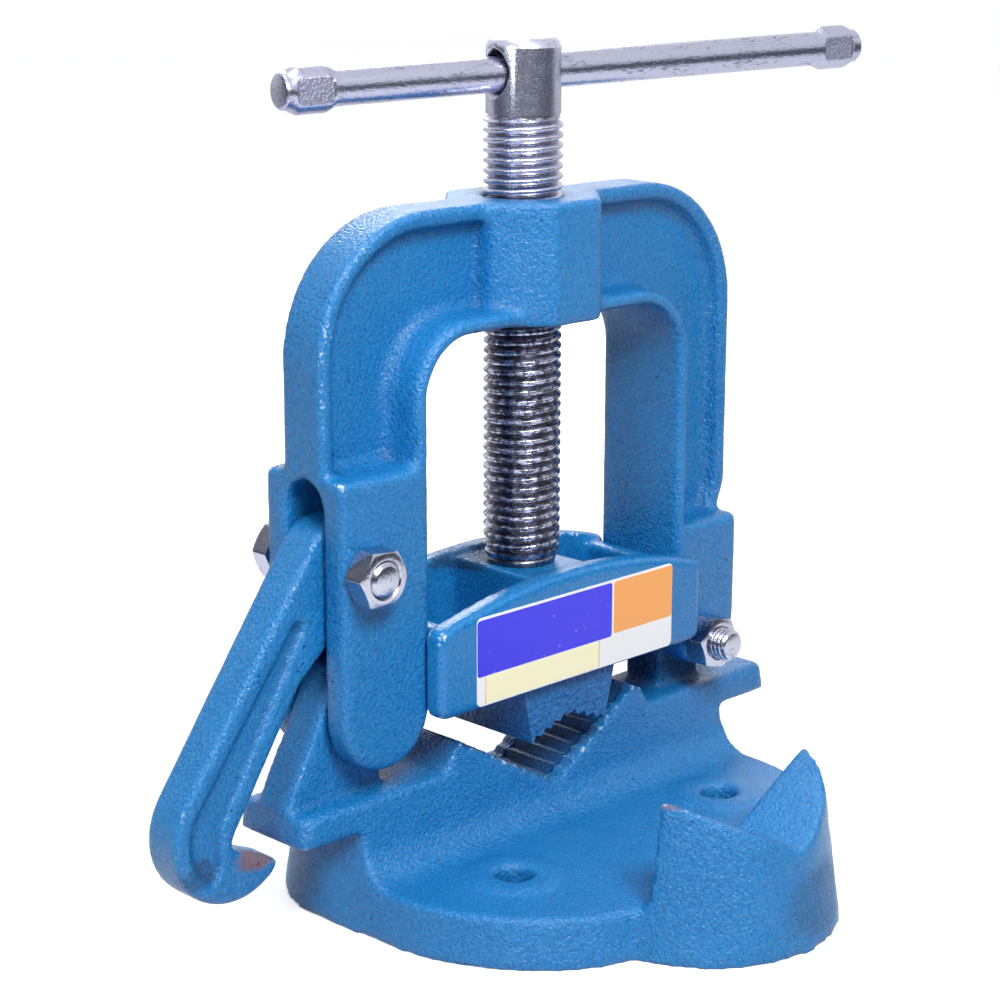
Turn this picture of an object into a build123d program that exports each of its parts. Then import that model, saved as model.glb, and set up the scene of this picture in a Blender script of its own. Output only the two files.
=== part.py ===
from build123d import *
import os
from math import asin, cos, degrees, radians, sin, sqrt, tan

os.makedirs("parts", exist_ok=True)

# Frame: X runs from the latch side (-) to the hinge side (+), Y along the pipe
# with the horned pipe rest at -Y, Z up from the bench.
# The clamp screw stands on the Z axis.  All sizes are in millimetres.

# General cast and fit sizes
CAST_DRAFT = 8.0
RUNNING_FIT = 0.05
SOLID_FIT = 0.15
GUIDE_GAP = 0.6
CUT_REACH = 5.0

# Half-inch hexagon bolts, shared by the hinge and the latch
BOLT_D = 12.7
HEX_FLATS = 19.0
NUT_HEIGHT = 9.5
HEAD_HEIGHT = 8.0
BOLT_BEVEL = 1.0

# Yoke: legs, window and arch
YOKE_HALF_DEPTH = 20.5
WINDOW_HALF_WIDTH = 65.5
WINDOW_TOP = 205.5
WINDOW_CORNER_R = 21.0
ARCH_HALF_WIDTH = 106.0
ARCH_TOP = 249.0
ARCH_CORNER_R = 49.0
LEG_BOTTOM = 57.0
HINGE_LEG_OUTER = 102.0
LATCH_LEDGE = 163.0
HINGE_LEDGE = 116.0
HINGE_NECK_DROP = 10.0
FULL_ROUND_REST = 0.05

# Yoke: I-shaped section of the arch
INNER_RIM = 5.5
OUTER_RIM = 6.0
OUTER_RIM_HALF_DEPTH = 10.4
WEB_HALF_DEPTH = 4.0
CHANNEL_FILLET = 5.0
WALL_SHARE = 0.8
RIM_BEVEL = 1.8
BOSS_FLATS = 56.0
BOSS_DROP = 0.5

# Yoke: slots for the hook and the base ears
SLOT_HALF_WIDTH = 9.5
LATCH_SLOT_TOP = 161.0
LATCH_SLOT_BACK = -77.0
HINGE_SLOT_TOP = 95.0

# Hinge and latch axes
HINGE_X = 81.5
HINGE_Z = 68.1
HINGE_BOLT_PROUD = 6.5
HINGE_HEX_TURN = -11.7
LATCH_X = -95.3
LATCH_Z = 129.9
LATCH_BOLT_PROUD = 1.0
LATCH_HEX_TURN = -5.0

# Clamp screw and its head
SCREW_D = 28.6
SCREW_NECK_D = 24.6
SCREW_NECK = 3.0
SCREW_RUNOUT = 1.0
SCREW_HEAD_D = 27.0
SCREW_HEAD_BOTTOM = 277.7
SCREW_TOP = 304.3
SCREW_HEAD_BEVEL = 2.0
SCREW_TIP_D = 25.0
SCREW_TIP_LENGTH = 6.2
SPIGOT_D = 18.0
SPIGOT_DEPTH = 25.0
SPIGOT_END_GAP = 1.0
SPIGOT_BEVEL = 1.0
GROOVE_DEPTH = 2.5
GROOVE_DROP = 15.5

# Handle bar
BAR_D = 12.7
BAR_LEFT = 99.3
BAR_RIGHT = 156.3
BAR_Z = 292.1
BAR_HEADING = -10.7
BAR_TILT = 1.6
BAR_HOLE_D = 15.0
BAR_HOLE_SINK = 1.8
BAR_SEAT_GAP = 0.3
STAKE_LENGTH = 15.0
STAKE_INSET = 4.0
STAKE_HEIGHT = 16.4
STAKE_WIDTH = 10.6
BAR_BEVEL = 1.2

# Sliding jaw
JAW_BOTTOM = 72.5
JAW_END_TOP = 104.0
JAW_PAD_TOP = 112.5
JAW_PAD_HALF_WIDTH = 15.5
JAW_SIDE_GAP = 0.8
JAW_END_WALL = 7.2
JAW_FLOOR = 8.0
PLATE_THICKNESS = 8.8
PLATE_HALF_WIDTH = 69.5
PLATE_TOP = 114.5
PLATE_END_TOP = 104.5
PLATE_CORNER_R = 4.0
PLATE_BEVEL = 1.8
POCKET_R = 4.0
CROSS_PIN_D = 5.0
CROSS_PIN_INSET = 1.0
CROSS_PIN_BEVEL = 0.5

# Toothed upper jaw
UPPER_HALF_DEPTH = 25.5
UPPER_TOP_HALF_WIDTH = 24.5
UPPER_TIP_HALF_WIDTH = 19.5
UPPER_TIP_Z = 51.0
UPPER_APEX_Z = 58.0
UPPER_TEETH = 4
TONGUE_HALF_WIDTH = 8.0
TONGUE_HALF_DEPTH = 18.0
TONGUE_HEIGHT = 10.0

# Toothed lower jaw in its trough
LOWER_PEAK_X = 46.0
LOWER_PEAK_Z = 56.0
LOWER_VALLEY_Z = 30.0
LOWER_TEETH = 9
TOOTH_DEPTH = 2.0
TROUGH_WALL = 4.0
TROUGH_END = 2.0
TROUGH_FLOOR = 20.0
JAW_SCREW_X = 28.0
JAW_SCREW_D = 10.0
JAW_SCREW_HEAD_D = 16.0
JAW_SCREW_HEAD = 10.0
JAW_SCREW_SINK = 11.0
JAW_SCREW_REACH = 13.0
JAW_SCREW_END_GAP = 1.0
JAW_SCREW_SOCKET = 8.0

# Base casting
FOOT_HALF_WIDTH = 102.5
FOOT_REAR = 47.0
FOOT_REAR_R = 45.0
FOOT_LOBE_X = 100.0
FOOT_LOBE_Y = -42.0
FOOT_LOBE_MID = (-86.5, -76.0)
FOOT_LOBE_END = (-60.0, -99.0)
FOOT_THICKNESS = 18.0
WALL_HALF_DEPTH = 16.0
WALL_FRONT_FILLET = 14.0
WALL_REAR_FILLET = 6.0
SHOULDER_X = 50.0
SHOULDER_Z = 54.0
SHELF_START = 55.0
SHELF_Z = 47.0
LUG_BOTTOM = 36.0
LUG_LATCH_END = 124.0
LUG_HINGE_END = 127.0
LUG_CORNER_R = 6.0
EAR_HALF_WIDTH = 8.25
EAR_R = 12.75
LATCH_EAR_TOP = 95.0
LATCH_EAR_TIP_X = -98.0
LATCH_EAR_BEND_X = -108.0
LATCH_EAR_BEND_Z = 75.0
LATCH_EAR_GAP = 2.0
EAR_FOOT_INSET = 1.0

# Horned pipe rest at the front of the base
NOSE_Y = -91.0
NOSE_R = 49.5
NOSE_WAIST_STEP = 12.0
NOSE_BACK = -104.0
NOSE_TOP = 57.0
NOSE_VALLEY_Z = 35.0
NOSE_ANGLE = 29.0
NOSE_FILLET = 4.0

# Bench bolt holes
FOOT_HOLE_D = 14.0
FOOT_HOLE_X = 56.0
FOOT_HOLE_Y = -52.0
REAR_HOLE_Y = 34.5
PAD_D = 34.0
PAD_HEIGHT = 1.5
PAD_DRAFT = 28.0

# Hook latch, in its own frame: bolt eye at the origin, arm hanging down
HOOK_LEAN = 30.8
HOOK_EYE_R = 17.0
HOOK_HALF_THICKNESS = 8.5
HOOK_LENGTH = 96.8
HOOK_HEEL_R = 25.0
HOOK_THROAT_X = 0.5
HOOK_ARM_IN_X = 2.5
HOOK_ARM_IN_Y = -42.0
HOOK_LIP_DROP = 5.7
HOOK_TIP_X = 24.0
HOOK_TIP_DROP = 3.0
HOOK_TIP_THICKNESS = 4.0
HOOK_THROAT_R = 3.5
HOOK_RIM = 6.0
HOOK_RECESS = 2.0
HOOK_BEVEL = 1.5

# Sizes worked out from the ones above
HOOK_LIP_Y = -HOOK_LENGTH - HOOK_LIP_DROP
HOOK_TIP_TOP = -HOOK_LENGTH - HOOK_TIP_DROP
PLATE_IN = YOKE_HALF_DEPTH + GUIDE_GAP
PLATE_OUT = PLATE_IN + PLATE_THICKNESS
SLIDE_HALF_WIDTH = WINDOW_HALF_WIDTH - JAW_SIDE_GAP
JAW_SEAT_GAP = 0.3
SPIGOT_BOTTOM = JAW_PAD_TOP - SPIGOT_DEPTH
GROOVE_Z = JAW_PAD_TOP - GROOVE_DROP
GROOVE_R = SPIGOT_D / 2 - GROOVE_DEPTH
SCREW_PIN_X = GROOVE_R + CROSS_PIN_D / 2 + SOLID_FIT
UPPER_PIN_Z = JAW_BOTTOM + TONGUE_HEIGHT / 2
DRAFT_SLOPE = tan(radians(CAST_DRAFT))
TROUGH_HALF_DEPTH = WALL_HALF_DEPTH - TROUGH_WALL
TROUGH_HALF_WIDTH = LOWER_PEAK_X - TROUGH_END


def wall_depth(z):
    """Half depth of the drafted jaw block of the base at height z."""
    return WALL_HALF_DEPTH + (LOWER_PEAK_Z - z) * DRAFT_SLOPE


def tooth_points(start, end, count, depth):
    """Crest and root points of equal teeth; roots lie on the right of the way."""
    step = (Vector(*end) - Vector(*start)) / count
    inward = Vector(step.Y, -step.X).normalized() * depth
    points = []
    for tooth in range(count):
        crest = Vector(*start) + step * tooth
        points += [crest, crest + step / 2 + inward]
    return points + [Vector(*end)]


def across(x, z):
    """Plane square to the Y axis with its origin at (x, 0, z), x to the right, z up."""
    return Plane((x, 0, z), x_dir=(1, 0, 0), z_dir=(0, -1, 0))


# Base casting
with BuildPart() as base:
    nose_half_width = -FOOT_LOBE_END[0] - NOSE_WAIST_STEP
    with BuildSketch() as footprint:
        with BuildLine() as outline:
            rear = Line((0, FOOT_REAR), (FOOT_REAR_R - FOOT_HALF_WIDTH, FOOT_REAR))
            corner = TangentArc(rear @ 1, (-FOOT_HALF_WIDTH, FOOT_REAR - FOOT_REAR_R), tangent=rear % 1)
            side = Line(corner @ 1, (-FOOT_LOBE_X, FOOT_LOBE_Y))
            lobe = ThreePointArc(side @ 1, FOOT_LOBE_MID, FOOT_LOBE_END)
            nose_start = (-nose_half_width, NOSE_Y - sqrt(NOSE_R**2 - nose_half_width**2))
            waist = Line(lobe @ 1, nose_start)
            nose = RadiusArc(waist @ 1, (0, NOSE_Y - NOSE_R), -NOSE_R)
            mirror(about=Plane.YZ)
        make_face()
    extrude(amount=NOSE_TOP, taper=CAST_DRAFT)
    front_reach = NOSE_Y - NOSE_R - CUT_REACH
    rear_reach = FOOT_REAR + CUT_REACH
    with BuildSketch(Plane.YZ) as side_view:
        with BuildLine():
            Polyline(
                (front_reach, 0), (rear_reach, 0), (rear_reach, FOOT_THICKNESS),
                (wall_depth(FOOT_THICKNESS), FOOT_THICKNESS),
                (WALL_HALF_DEPTH, LOWER_PEAK_Z), (-WALL_HALF_DEPTH, LOWER_PEAK_Z),
                (-wall_depth(FOOT_THICKNESS), FOOT_THICKNESS), (NOSE_BACK, FOOT_THICKNESS),
                (NOSE_BACK, NOSE_TOP), (front_reach, NOSE_TOP), close=True,
            )
        make_face()
        for foot, foot_fillet in enumerate((NOSE_FILLET, WALL_FRONT_FILLET, WALL_REAR_FILLET)):
            foot_y = (NOSE_BACK, -wall_depth(FOOT_THICKNESS), wall_depth(FOOT_THICKNESS))[foot]
            fillet(side_view.vertices().sort_by_distance((foot_y, FOOT_THICKNESS))[0], foot_fillet)
    extrude(amount=2 * FOOT_HALF_WIDTH, both=True, mode=Mode.INTERSECT)

    # Lugs: one bar through the jaw block, its front and rear drafted like the block
    with BuildSketch(Plane.XY.offset(LUG_BOTTOM)) as lugs:
        with Locations(((LUG_HINGE_END - LUG_LATCH_END) / 2, 0)):
            Rectangle(LUG_HINGE_END + LUG_LATCH_END, 2 * wall_depth(LUG_BOTTOM))
        fillet(lugs.vertices(), LUG_CORNER_R)
    extrude(amount=SHELF_Z - LUG_BOTTOM, taper=CAST_DRAFT)

    # Top of the jaw block: shelves, shoulders and the V, notched like the lower jaw
    with BuildSketch(Plane.XZ) as above_block:
        with BuildLine() as block_top:
            Polyline(
                (-2 * FOOT_HALF_WIDTH, LOWER_PEAK_Z + CUT_REACH), (-2 * FOOT_HALF_WIDTH, SHELF_Z),
                (-SHELF_START, SHELF_Z),
                (-SHOULDER_X, SHOULDER_Z), (-LOWER_PEAK_X, LOWER_PEAK_Z),
            )
            notch_start = (-LOWER_PEAK_X, LOWER_PEAK_Z)
            Polyline(*tooth_points(notch_start, (0, LOWER_VALLEY_Z), LOWER_TEETH, TOOTH_DEPTH))
            mirror(about=Plane.YZ)
            over_peaks = LOWER_PEAK_Z + CUT_REACH
            Line((-2 * FOOT_HALF_WIDTH, over_peaks), (2 * FOOT_HALF_WIDTH, over_peaks))
        make_face()
    extrude(amount=2 * WALL_HALF_DEPTH, both=True, mode=Mode.SUBTRACT)

    # Trough for the lower jaw
    with BuildSketch(Plane.XY.offset(TROUGH_FLOOR)):
        Rectangle(2 * TROUGH_HALF_WIDTH, 2 * TROUGH_HALF_DEPTH)
    extrude(amount=LOWER_PEAK_Z, mode=Mode.SUBTRACT)

    # V of the pipe rest
    rest_rise = (NOSE_R * 1.2) * tan(radians(NOSE_ANGLE))
    with BuildSketch(Plane.XZ.offset(-NOSE_BACK - NOSE_FILLET)) as rest:
        with BuildLine():
            Polyline(
                (0, NOSE_VALLEY_Z), (NOSE_R * 1.2, NOSE_VALLEY_Z + rest_rise),
                (-NOSE_R * 1.2, NOSE_VALLEY_Z + rest_rise), close=True,
            )
        make_face()
        fillet(rest.vertices().sort_by(Axis.Y)[0], NOSE_FILLET)
    extrude(amount=2 * NOSE_R, mode=Mode.SUBTRACT)

    # Hinge ear, round about the hinge bolt
    with BuildSketch(across(HINGE_X, HINGE_Z)) as ear:
        Circle(EAR_R)
        with Locations((0, (LUG_BOTTOM - HINGE_Z) / 2)):
            Rectangle(2 * EAR_R, HINGE_Z - LUG_BOTTOM)
    extrude(amount=EAR_HALF_WIDTH, both=True)
    with Locations(across(HINGE_X, HINGE_Z)):
        Hole(BOLT_D / 2 + RUNNING_FIT)

    # Latch ear, a slanted fin that stands in the slot of the latch leg
    with BuildSketch(Plane.XZ) as fin:
        ear_back = LATCH_SLOT_BACK - LATCH_EAR_GAP
        with BuildLine():
            Polyline(
                (ear_back, LUG_BOTTOM), (ear_back, LATCH_EAR_TOP), (LATCH_EAR_TIP_X, LATCH_EAR_TOP),
                (LATCH_EAR_BEND_X, LATCH_EAR_BEND_Z), (EAR_FOOT_INSET - LUG_LATCH_END, SHELF_Z),
                (LUG_CORNER_R - LUG_LATCH_END, LUG_BOTTOM + EAR_FOOT_INSET), close=True,
            )
        make_face()
        fillet(fin.vertices().group_by(Axis.Y)[-1], LATCH_EAR_GAP)
    extrude(amount=EAR_HALF_WIDTH, both=True)

    # Bench bolt holes, the front two with raised pads
    with BuildSketch(Plane.XY.offset(FOOT_THICKNESS)):
        with Locations((-FOOT_HOLE_X, FOOT_HOLE_Y), (FOOT_HOLE_X, FOOT_HOLE_Y)):
            Circle(PAD_D / 2)
    extrude(amount=PAD_HEIGHT, taper=PAD_DRAFT)
    hole_places = [(-FOOT_HOLE_X, FOOT_HOLE_Y), (FOOT_HOLE_X, FOOT_HOLE_Y), (0, REAR_HOLE_Y)]
    with BuildSketch() as foot_holes:
        with Locations(*hole_places):
            Circle(FOOT_HOLE_D / 2)
    extrude(amount=FOOT_THICKNESS + PAD_HEIGHT, mode=Mode.SUBTRACT)

    # Screw holes from below into the lower jaw
    with BuildSketch() as jaw_screw_holes:
        with Locations((-JAW_SCREW_X, 0), (JAW_SCREW_X, 0)):
            Circle(JAW_SCREW_D / 2 + SOLID_FIT)
    extrude(amount=TROUGH_FLOOR, mode=Mode.SUBTRACT)
    with BuildSketch() as jaw_screw_sinks:
        with Locations((-JAW_SCREW_X, 0), (JAW_SCREW_X, 0)):
            Circle(JAW_SCREW_HEAD_D / 2 + 2 * SOLID_FIT)
    extrude(amount=JAW_SCREW_SINK, mode=Mode.SUBTRACT)

base.part.label = "base"
export_step(base.part, "parts/base.step")


# Lower jaw, a toothed steel V block in the trough
with BuildPart() as lower_jaw:
    with BuildSketch(Plane.XZ) as lower_outline:
        with BuildLine():
            slope = (LOWER_PEAK_Z - LOWER_VALLEY_Z) / LOWER_PEAK_X
            block_x = TROUGH_HALF_WIDTH - SOLID_FIT
            teeth = tooth_points((-LOWER_PEAK_X, LOWER_PEAK_Z), (0, LOWER_VALLEY_Z), LOWER_TEETH, TOOTH_DEPTH)
            block_z = LOWER_PEAK_Z - slope * TROUGH_END
            Polyline((0, TROUGH_FLOOR), (-block_x, TROUGH_FLOOR), (-block_x, block_z), *teeth[2:])
            mirror(about=Plane.YZ)
        make_face()
    extrude(amount=TROUGH_HALF_DEPTH - SOLID_FIT, both=True)
    with BuildSketch(Plane.XY.offset(TROUGH_FLOOR)):
        with Locations((-JAW_SCREW_X, 0), (JAW_SCREW_X, 0)):
            Circle(JAW_SCREW_D / 2 + RUNNING_FIT)
    extrude(amount=JAW_SCREW_REACH + JAW_SCREW_END_GAP, mode=Mode.SUBTRACT)

lower_jaw.part.label = "lower_jaw"
export_step(lower_jaw.part, "parts/lower_jaw.step")


# Two socket screws that hold the lower jaw from below
for side, screw_x in (("left", -JAW_SCREW_X), ("right", JAW_SCREW_X)):
    with BuildPart() as jaw_screw:
        with BuildSketch(Plane.XY.offset(JAW_SCREW_SINK - JAW_SCREW_HEAD)):
            with Locations((screw_x, 0)):
                Circle(JAW_SCREW_HEAD_D / 2)
        extrude(amount=JAW_SCREW_HEAD)
        with BuildSketch(Plane.XY.offset(JAW_SCREW_SINK)):
            with Locations((screw_x, 0)):
                Circle(JAW_SCREW_D / 2)
        extrude(amount=TROUGH_FLOOR + JAW_SCREW_REACH - JAW_SCREW_SINK)
        with BuildSketch(Plane.XY.offset(JAW_SCREW_SINK - JAW_SCREW_HEAD)):
            with Locations((screw_x, 0)):
                RegularPolygon(JAW_SCREW_SOCKET / 2, 6, major_radius=False)
        extrude(amount=JAW_SCREW_HEAD / 2, mode=Mode.SUBTRACT)
    jaw_screw.part.label = f"lower_jaw_screw_{side}"
    export_step(jaw_screw.part, f"parts/lower_jaw_screw_{side}.step")


# Yoke: an arch of I section on two forked legs.  The front half is made, then mirrored.
with BuildPart() as yoke:
    with BuildSketch(Plane.XZ) as arch:
        with BuildLine():
            Polyline(
                (-ARCH_HALF_WIDTH, LEG_BOTTOM), (-ARCH_HALF_WIDTH, ARCH_TOP), (ARCH_HALF_WIDTH, ARCH_TOP),
                (ARCH_HALF_WIDTH, HINGE_LEDGE + HINGE_NECK_DROP), (HINGE_LEG_OUTER, HINGE_LEDGE),
                (HINGE_LEG_OUTER, LEG_BOTTOM), close=True,
            )
        make_face()
        fillet(arch.vertices().group_by(Axis.Y)[-1], ARCH_CORNER_R)
        with BuildSketch(mode=Mode.PRIVATE) as window:
            with Locations((0, WINDOW_TOP / 2)):
                Rectangle(2 * WINDOW_HALF_WIDTH, WINDOW_TOP)
            fillet(window.vertices().group_by(Axis.Y)[-1], WINDOW_CORNER_R)
        add(window.sketch, mode=Mode.SUBTRACT)
        for outer_x in (-ARCH_HALF_WIDTH, HINGE_LEG_OUTER):
            leg_round = (abs(outer_x) - WINDOW_HALF_WIDTH) / 2 - FULL_ROUND_REST
            inner_x = WINDOW_HALF_WIDTH if outer_x > 0 else -WINDOW_HALF_WIDTH
            for end_x in (outer_x, inner_x):
                fillet(arch.vertices().sort_by_distance((end_x, LEG_BOTTOM))[0], leg_round)
    extrude(amount=YOKE_HALF_DEPTH)

    # Outside the inner rim the arch steps back to the outer rim, above the ledges
    with BuildSketch(Plane.XZ.offset(OUTER_RIM_HALF_DEPTH)) as step_back:
        with BuildLine():
            Polyline(
                (-2 * ARCH_HALF_WIDTH, LATCH_LEDGE), (0, LATCH_LEDGE), (0, HINGE_LEDGE),
                (2 * ARCH_HALF_WIDTH, HINGE_LEDGE), (2 * ARCH_HALF_WIDTH, 2 * ARCH_TOP),
                (-2 * ARCH_HALF_WIDTH, 2 * ARCH_TOP), close=True,
            )
        make_face()
        with BuildSketch(mode=Mode.PRIVATE) as rim_area:
            with Locations((0, (WINDOW_TOP + INNER_RIM) / 2)):
                Rectangle(2 * (WINDOW_HALF_WIDTH + INNER_RIM), WINDOW_TOP + INNER_RIM)
            fillet(rim_area.vertices().group_by(Axis.Y)[-1], WINDOW_CORNER_R + INNER_RIM)
        add(rim_area.sketch, mode=Mode.SUBTRACT)
    extrude(amount=YOKE_HALF_DEPTH, mode=Mode.SUBTRACT)

    # Channel between the rims, down to the web
    with BuildSketch(Plane.XZ.offset(WEB_HALF_DEPTH)) as channel:
        with BuildLine():
            inset = ARCH_HALF_WIDTH - OUTER_RIM
            Polyline(
                (-inset, LATCH_LEDGE), (0, LATCH_LEDGE), (0, HINGE_LEDGE),
                (HINGE_LEG_OUTER - OUTER_RIM, HINGE_LEDGE), (inset, HINGE_LEDGE + HINGE_NECK_DROP),
                (inset, ARCH_TOP - OUTER_RIM), (-inset, ARCH_TOP - OUTER_RIM), close=True,
            )
        make_face()
        fillet(channel.vertices().group_by(Axis.Y)[-1], ARCH_CORNER_R - OUTER_RIM)
        add(rim_area.sketch, mode=Mode.SUBTRACT)
    extrude(amount=YOKE_HALF_DEPTH, mode=Mode.SUBTRACT)

    # Cast fillets of the channel floor
    floor_edges = yoke.edges().filter_by_position(Axis.Y, -WEB_HALF_DEPTH - 0.01, -WEB_HALF_DEPTH + 0.01)
    ledge_wall = WINDOW_TOP - WINDOW_CORNER_R - LATCH_LEDGE
    fillet(floor_edges, min(CHANNEL_FILLET, WALL_SHARE * abs(ledge_wall)))

    # Broken edges of the window and of the leg boxes
    front = yoke.edges().filter_by_position(Axis.Y, -YOKE_HALF_DEPTH - 0.01, -YOKE_HALF_DEPTH + 0.01)
    chamfer(front, RIM_BEVEL)

    # Eight-sided boss for the screw
    with BuildSketch(Plane.XY.offset(WINDOW_TOP - BOSS_DROP)) as boss:
        RegularPolygon(BOSS_FLATS / 2, 8, major_radius=False, rotation=22.5)
        with Locations((0, BOSS_FLATS)):
            Rectangle(2 * BOSS_FLATS, 2 * BOSS_FLATS, mode=Mode.SUBTRACT)
    extrude(amount=ARCH_TOP - WINDOW_TOP + BOSS_DROP)

    # Slot of the latch leg, arched at the top, and fork of the hinge leg
    for side, slot_top in ((-1, LATCH_SLOT_TOP), (1, HINGE_SLOT_TOP)):
        start = LATCH_SLOT_BACK if side < 0 else WINDOW_HALF_WIDTH - RIM_BEVEL
        with BuildSketch(Plane.YZ.offset(start)):
            with Locations((0, (slot_top - SLOT_HALF_WIDTH) / 2)):
                Rectangle(2 * SLOT_HALF_WIDTH, slot_top - SLOT_HALF_WIDTH)
            with Locations((0, slot_top - SLOT_HALF_WIDTH)):
                Circle(SLOT_HALF_WIDTH)
        extrude(amount=side * ARCH_HALF_WIDTH, mode=Mode.SUBTRACT)

    mirror(about=Plane.XZ)

    with Locations(across(HINGE_X, HINGE_Z), across(LATCH_X, LATCH_Z)):
        Hole(BOLT_D / 2 + SOLID_FIT)
    with BuildSketch(Plane.XY.offset(WINDOW_TOP - BOSS_DROP)):
        Circle(SCREW_D / 2 + RUNNING_FIT)
    extrude(amount=ARCH_TOP - WINDOW_TOP + BOSS_DROP, mode=Mode.SUBTRACT)

yoke.part.label = "yoke"
export_step(yoke.part, "parts/yoke.step")


# Bolts and nuts: the head bears on the rear of the yoke, the nut on its front
bolt_places = (
    ("hinge", HINGE_X, HINGE_Z, HINGE_HEX_TURN, HINGE_BOLT_PROUD),
    ("latch", LATCH_X, LATCH_Z, LATCH_HEX_TURN, LATCH_BOLT_PROUD),
)
for name, bolt_x, bolt_z, hex_turn, proud in bolt_places:
    with BuildPart() as bolt:
        with BuildSketch(across(bolt_x, bolt_z).offset(-YOKE_HALF_DEPTH)):
            RegularPolygon(HEX_FLATS / 2, 6, major_radius=False, rotation=hex_turn)
        extrude(amount=-HEAD_HEIGHT)
        with BuildSketch(across(bolt_x, bolt_z).offset(-YOKE_HALF_DEPTH)):
            Circle(BOLT_D / 2)
        extrude(amount=2 * YOKE_HALF_DEPTH + NUT_HEIGHT + proud)
        chamfer(bolt.faces().sort_by(Axis.Y)[0].edges(), BOLT_BEVEL)
    bolt.part.label = f"{name}_bolt"
    export_step(bolt.part, f"parts/{name}_bolt.step")

    with BuildPart() as nut:
        with BuildSketch(across(bolt_x, bolt_z).offset(YOKE_HALF_DEPTH)):
            RegularPolygon(HEX_FLATS / 2, 6, major_radius=False, rotation=hex_turn)
            Circle(BOLT_D / 2 + RUNNING_FIT, mode=Mode.SUBTRACT)
        extrude(amount=NUT_HEIGHT)
    nut.part.label = f"{name}_nut"
    export_step(nut.part, f"parts/{name}_nut.step")


# Hook latch, hanging from the latch bolt inside the slot.  Its front half is made, then mirrored.
lean = radians(HOOK_LEAN)
hook_plane = Plane((LATCH_X, 0, LATCH_Z), x_dir=(cos(lean), 0, -sin(lean)), z_dir=(0, -1, 0))
with BuildPart() as hook_latch:
    with BuildSketch(hook_plane) as hook:
        with BuildLine():
            spread = degrees(asin((HOOK_HEEL_R - HOOK_EYE_R) / HOOK_LENGTH))
            tip_drop = degrees(asin((HOOK_TIP_TOP - HOOK_TIP_THICKNESS + HOOK_LENGTH) / HOOK_HEEL_R))
            eye = CenterArc((0, 0), HOOK_EYE_R, -40, 220 - spread)
            heel = CenterArc((0, -HOOK_LENGTH), HOOK_HEEL_R, 180 - spread, 180 + spread + tip_drop)
            back = Line(eye @ 1, heel @ 0)
            tip = Line(heel @ 1, (HOOK_TIP_X, HOOK_TIP_TOP))
            lip = Line(tip @ 1, (HOOK_THROAT_X, HOOK_LIP_Y))
            throat = Line(lip @ 1, (HOOK_ARM_IN_X, HOOK_ARM_IN_Y))
            Line(throat @ 1, eye @ 0)
        make_face()
        corners = hook.vertices()
        fillet(corners.sort_by_distance((HOOK_THROAT_X, HOOK_LIP_Y))[0], HOOK_THROAT_R)
        fillet(hook.vertices().sort_by_distance((HOOK_ARM_IN_X, HOOK_ARM_IN_Y))[0], HOOK_EYE_R)
    extrude(amount=HOOK_HALF_THICKNESS)
    outer_edges = hook_latch.edges().filter_by_position(
        Axis.Y, -HOOK_HALF_THICKNESS - 0.01, -HOOK_HALF_THICKNESS + 0.01
    )
    chamfer(outer_edges, HOOK_BEVEL)

    # Recess along the arm, between raised rims
    with BuildSketch(hook_plane.offset(HOOK_HALF_THICKNESS - HOOK_RECESS)) as recess:
        with BuildLine():
            rim_top = -HOOK_EYE_R - HOOK_RIM
            heel_rim = HOOK_HEEL_R - HOOK_RIM
            foot = CenterArc((0, -HOOK_LENGTH), heel_rim, 180, 90)
            Polyline(
                foot @ 1, (HOOK_THROAT_X, HOOK_LIP_Y - HOOK_RIM), (-HOOK_RIM, HOOK_LIP_Y + HOOK_RIM),
                (-HOOK_RIM, rim_top), (HOOK_RIM - HOOK_EYE_R, rim_top), foot @ 0,
            )
        make_face()
    extrude(amount=HOOK_HALF_THICKNESS, mode=Mode.SUBTRACT)
    mirror(about=Plane.XZ)
    with Locations(across(LATCH_X, LATCH_Z)):
        Hole(BOLT_D / 2 + RUNNING_FIT)

hook_latch.part.label = "hook_latch"
export_step(hook_latch.part, "parts/hook_latch.step")


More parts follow.
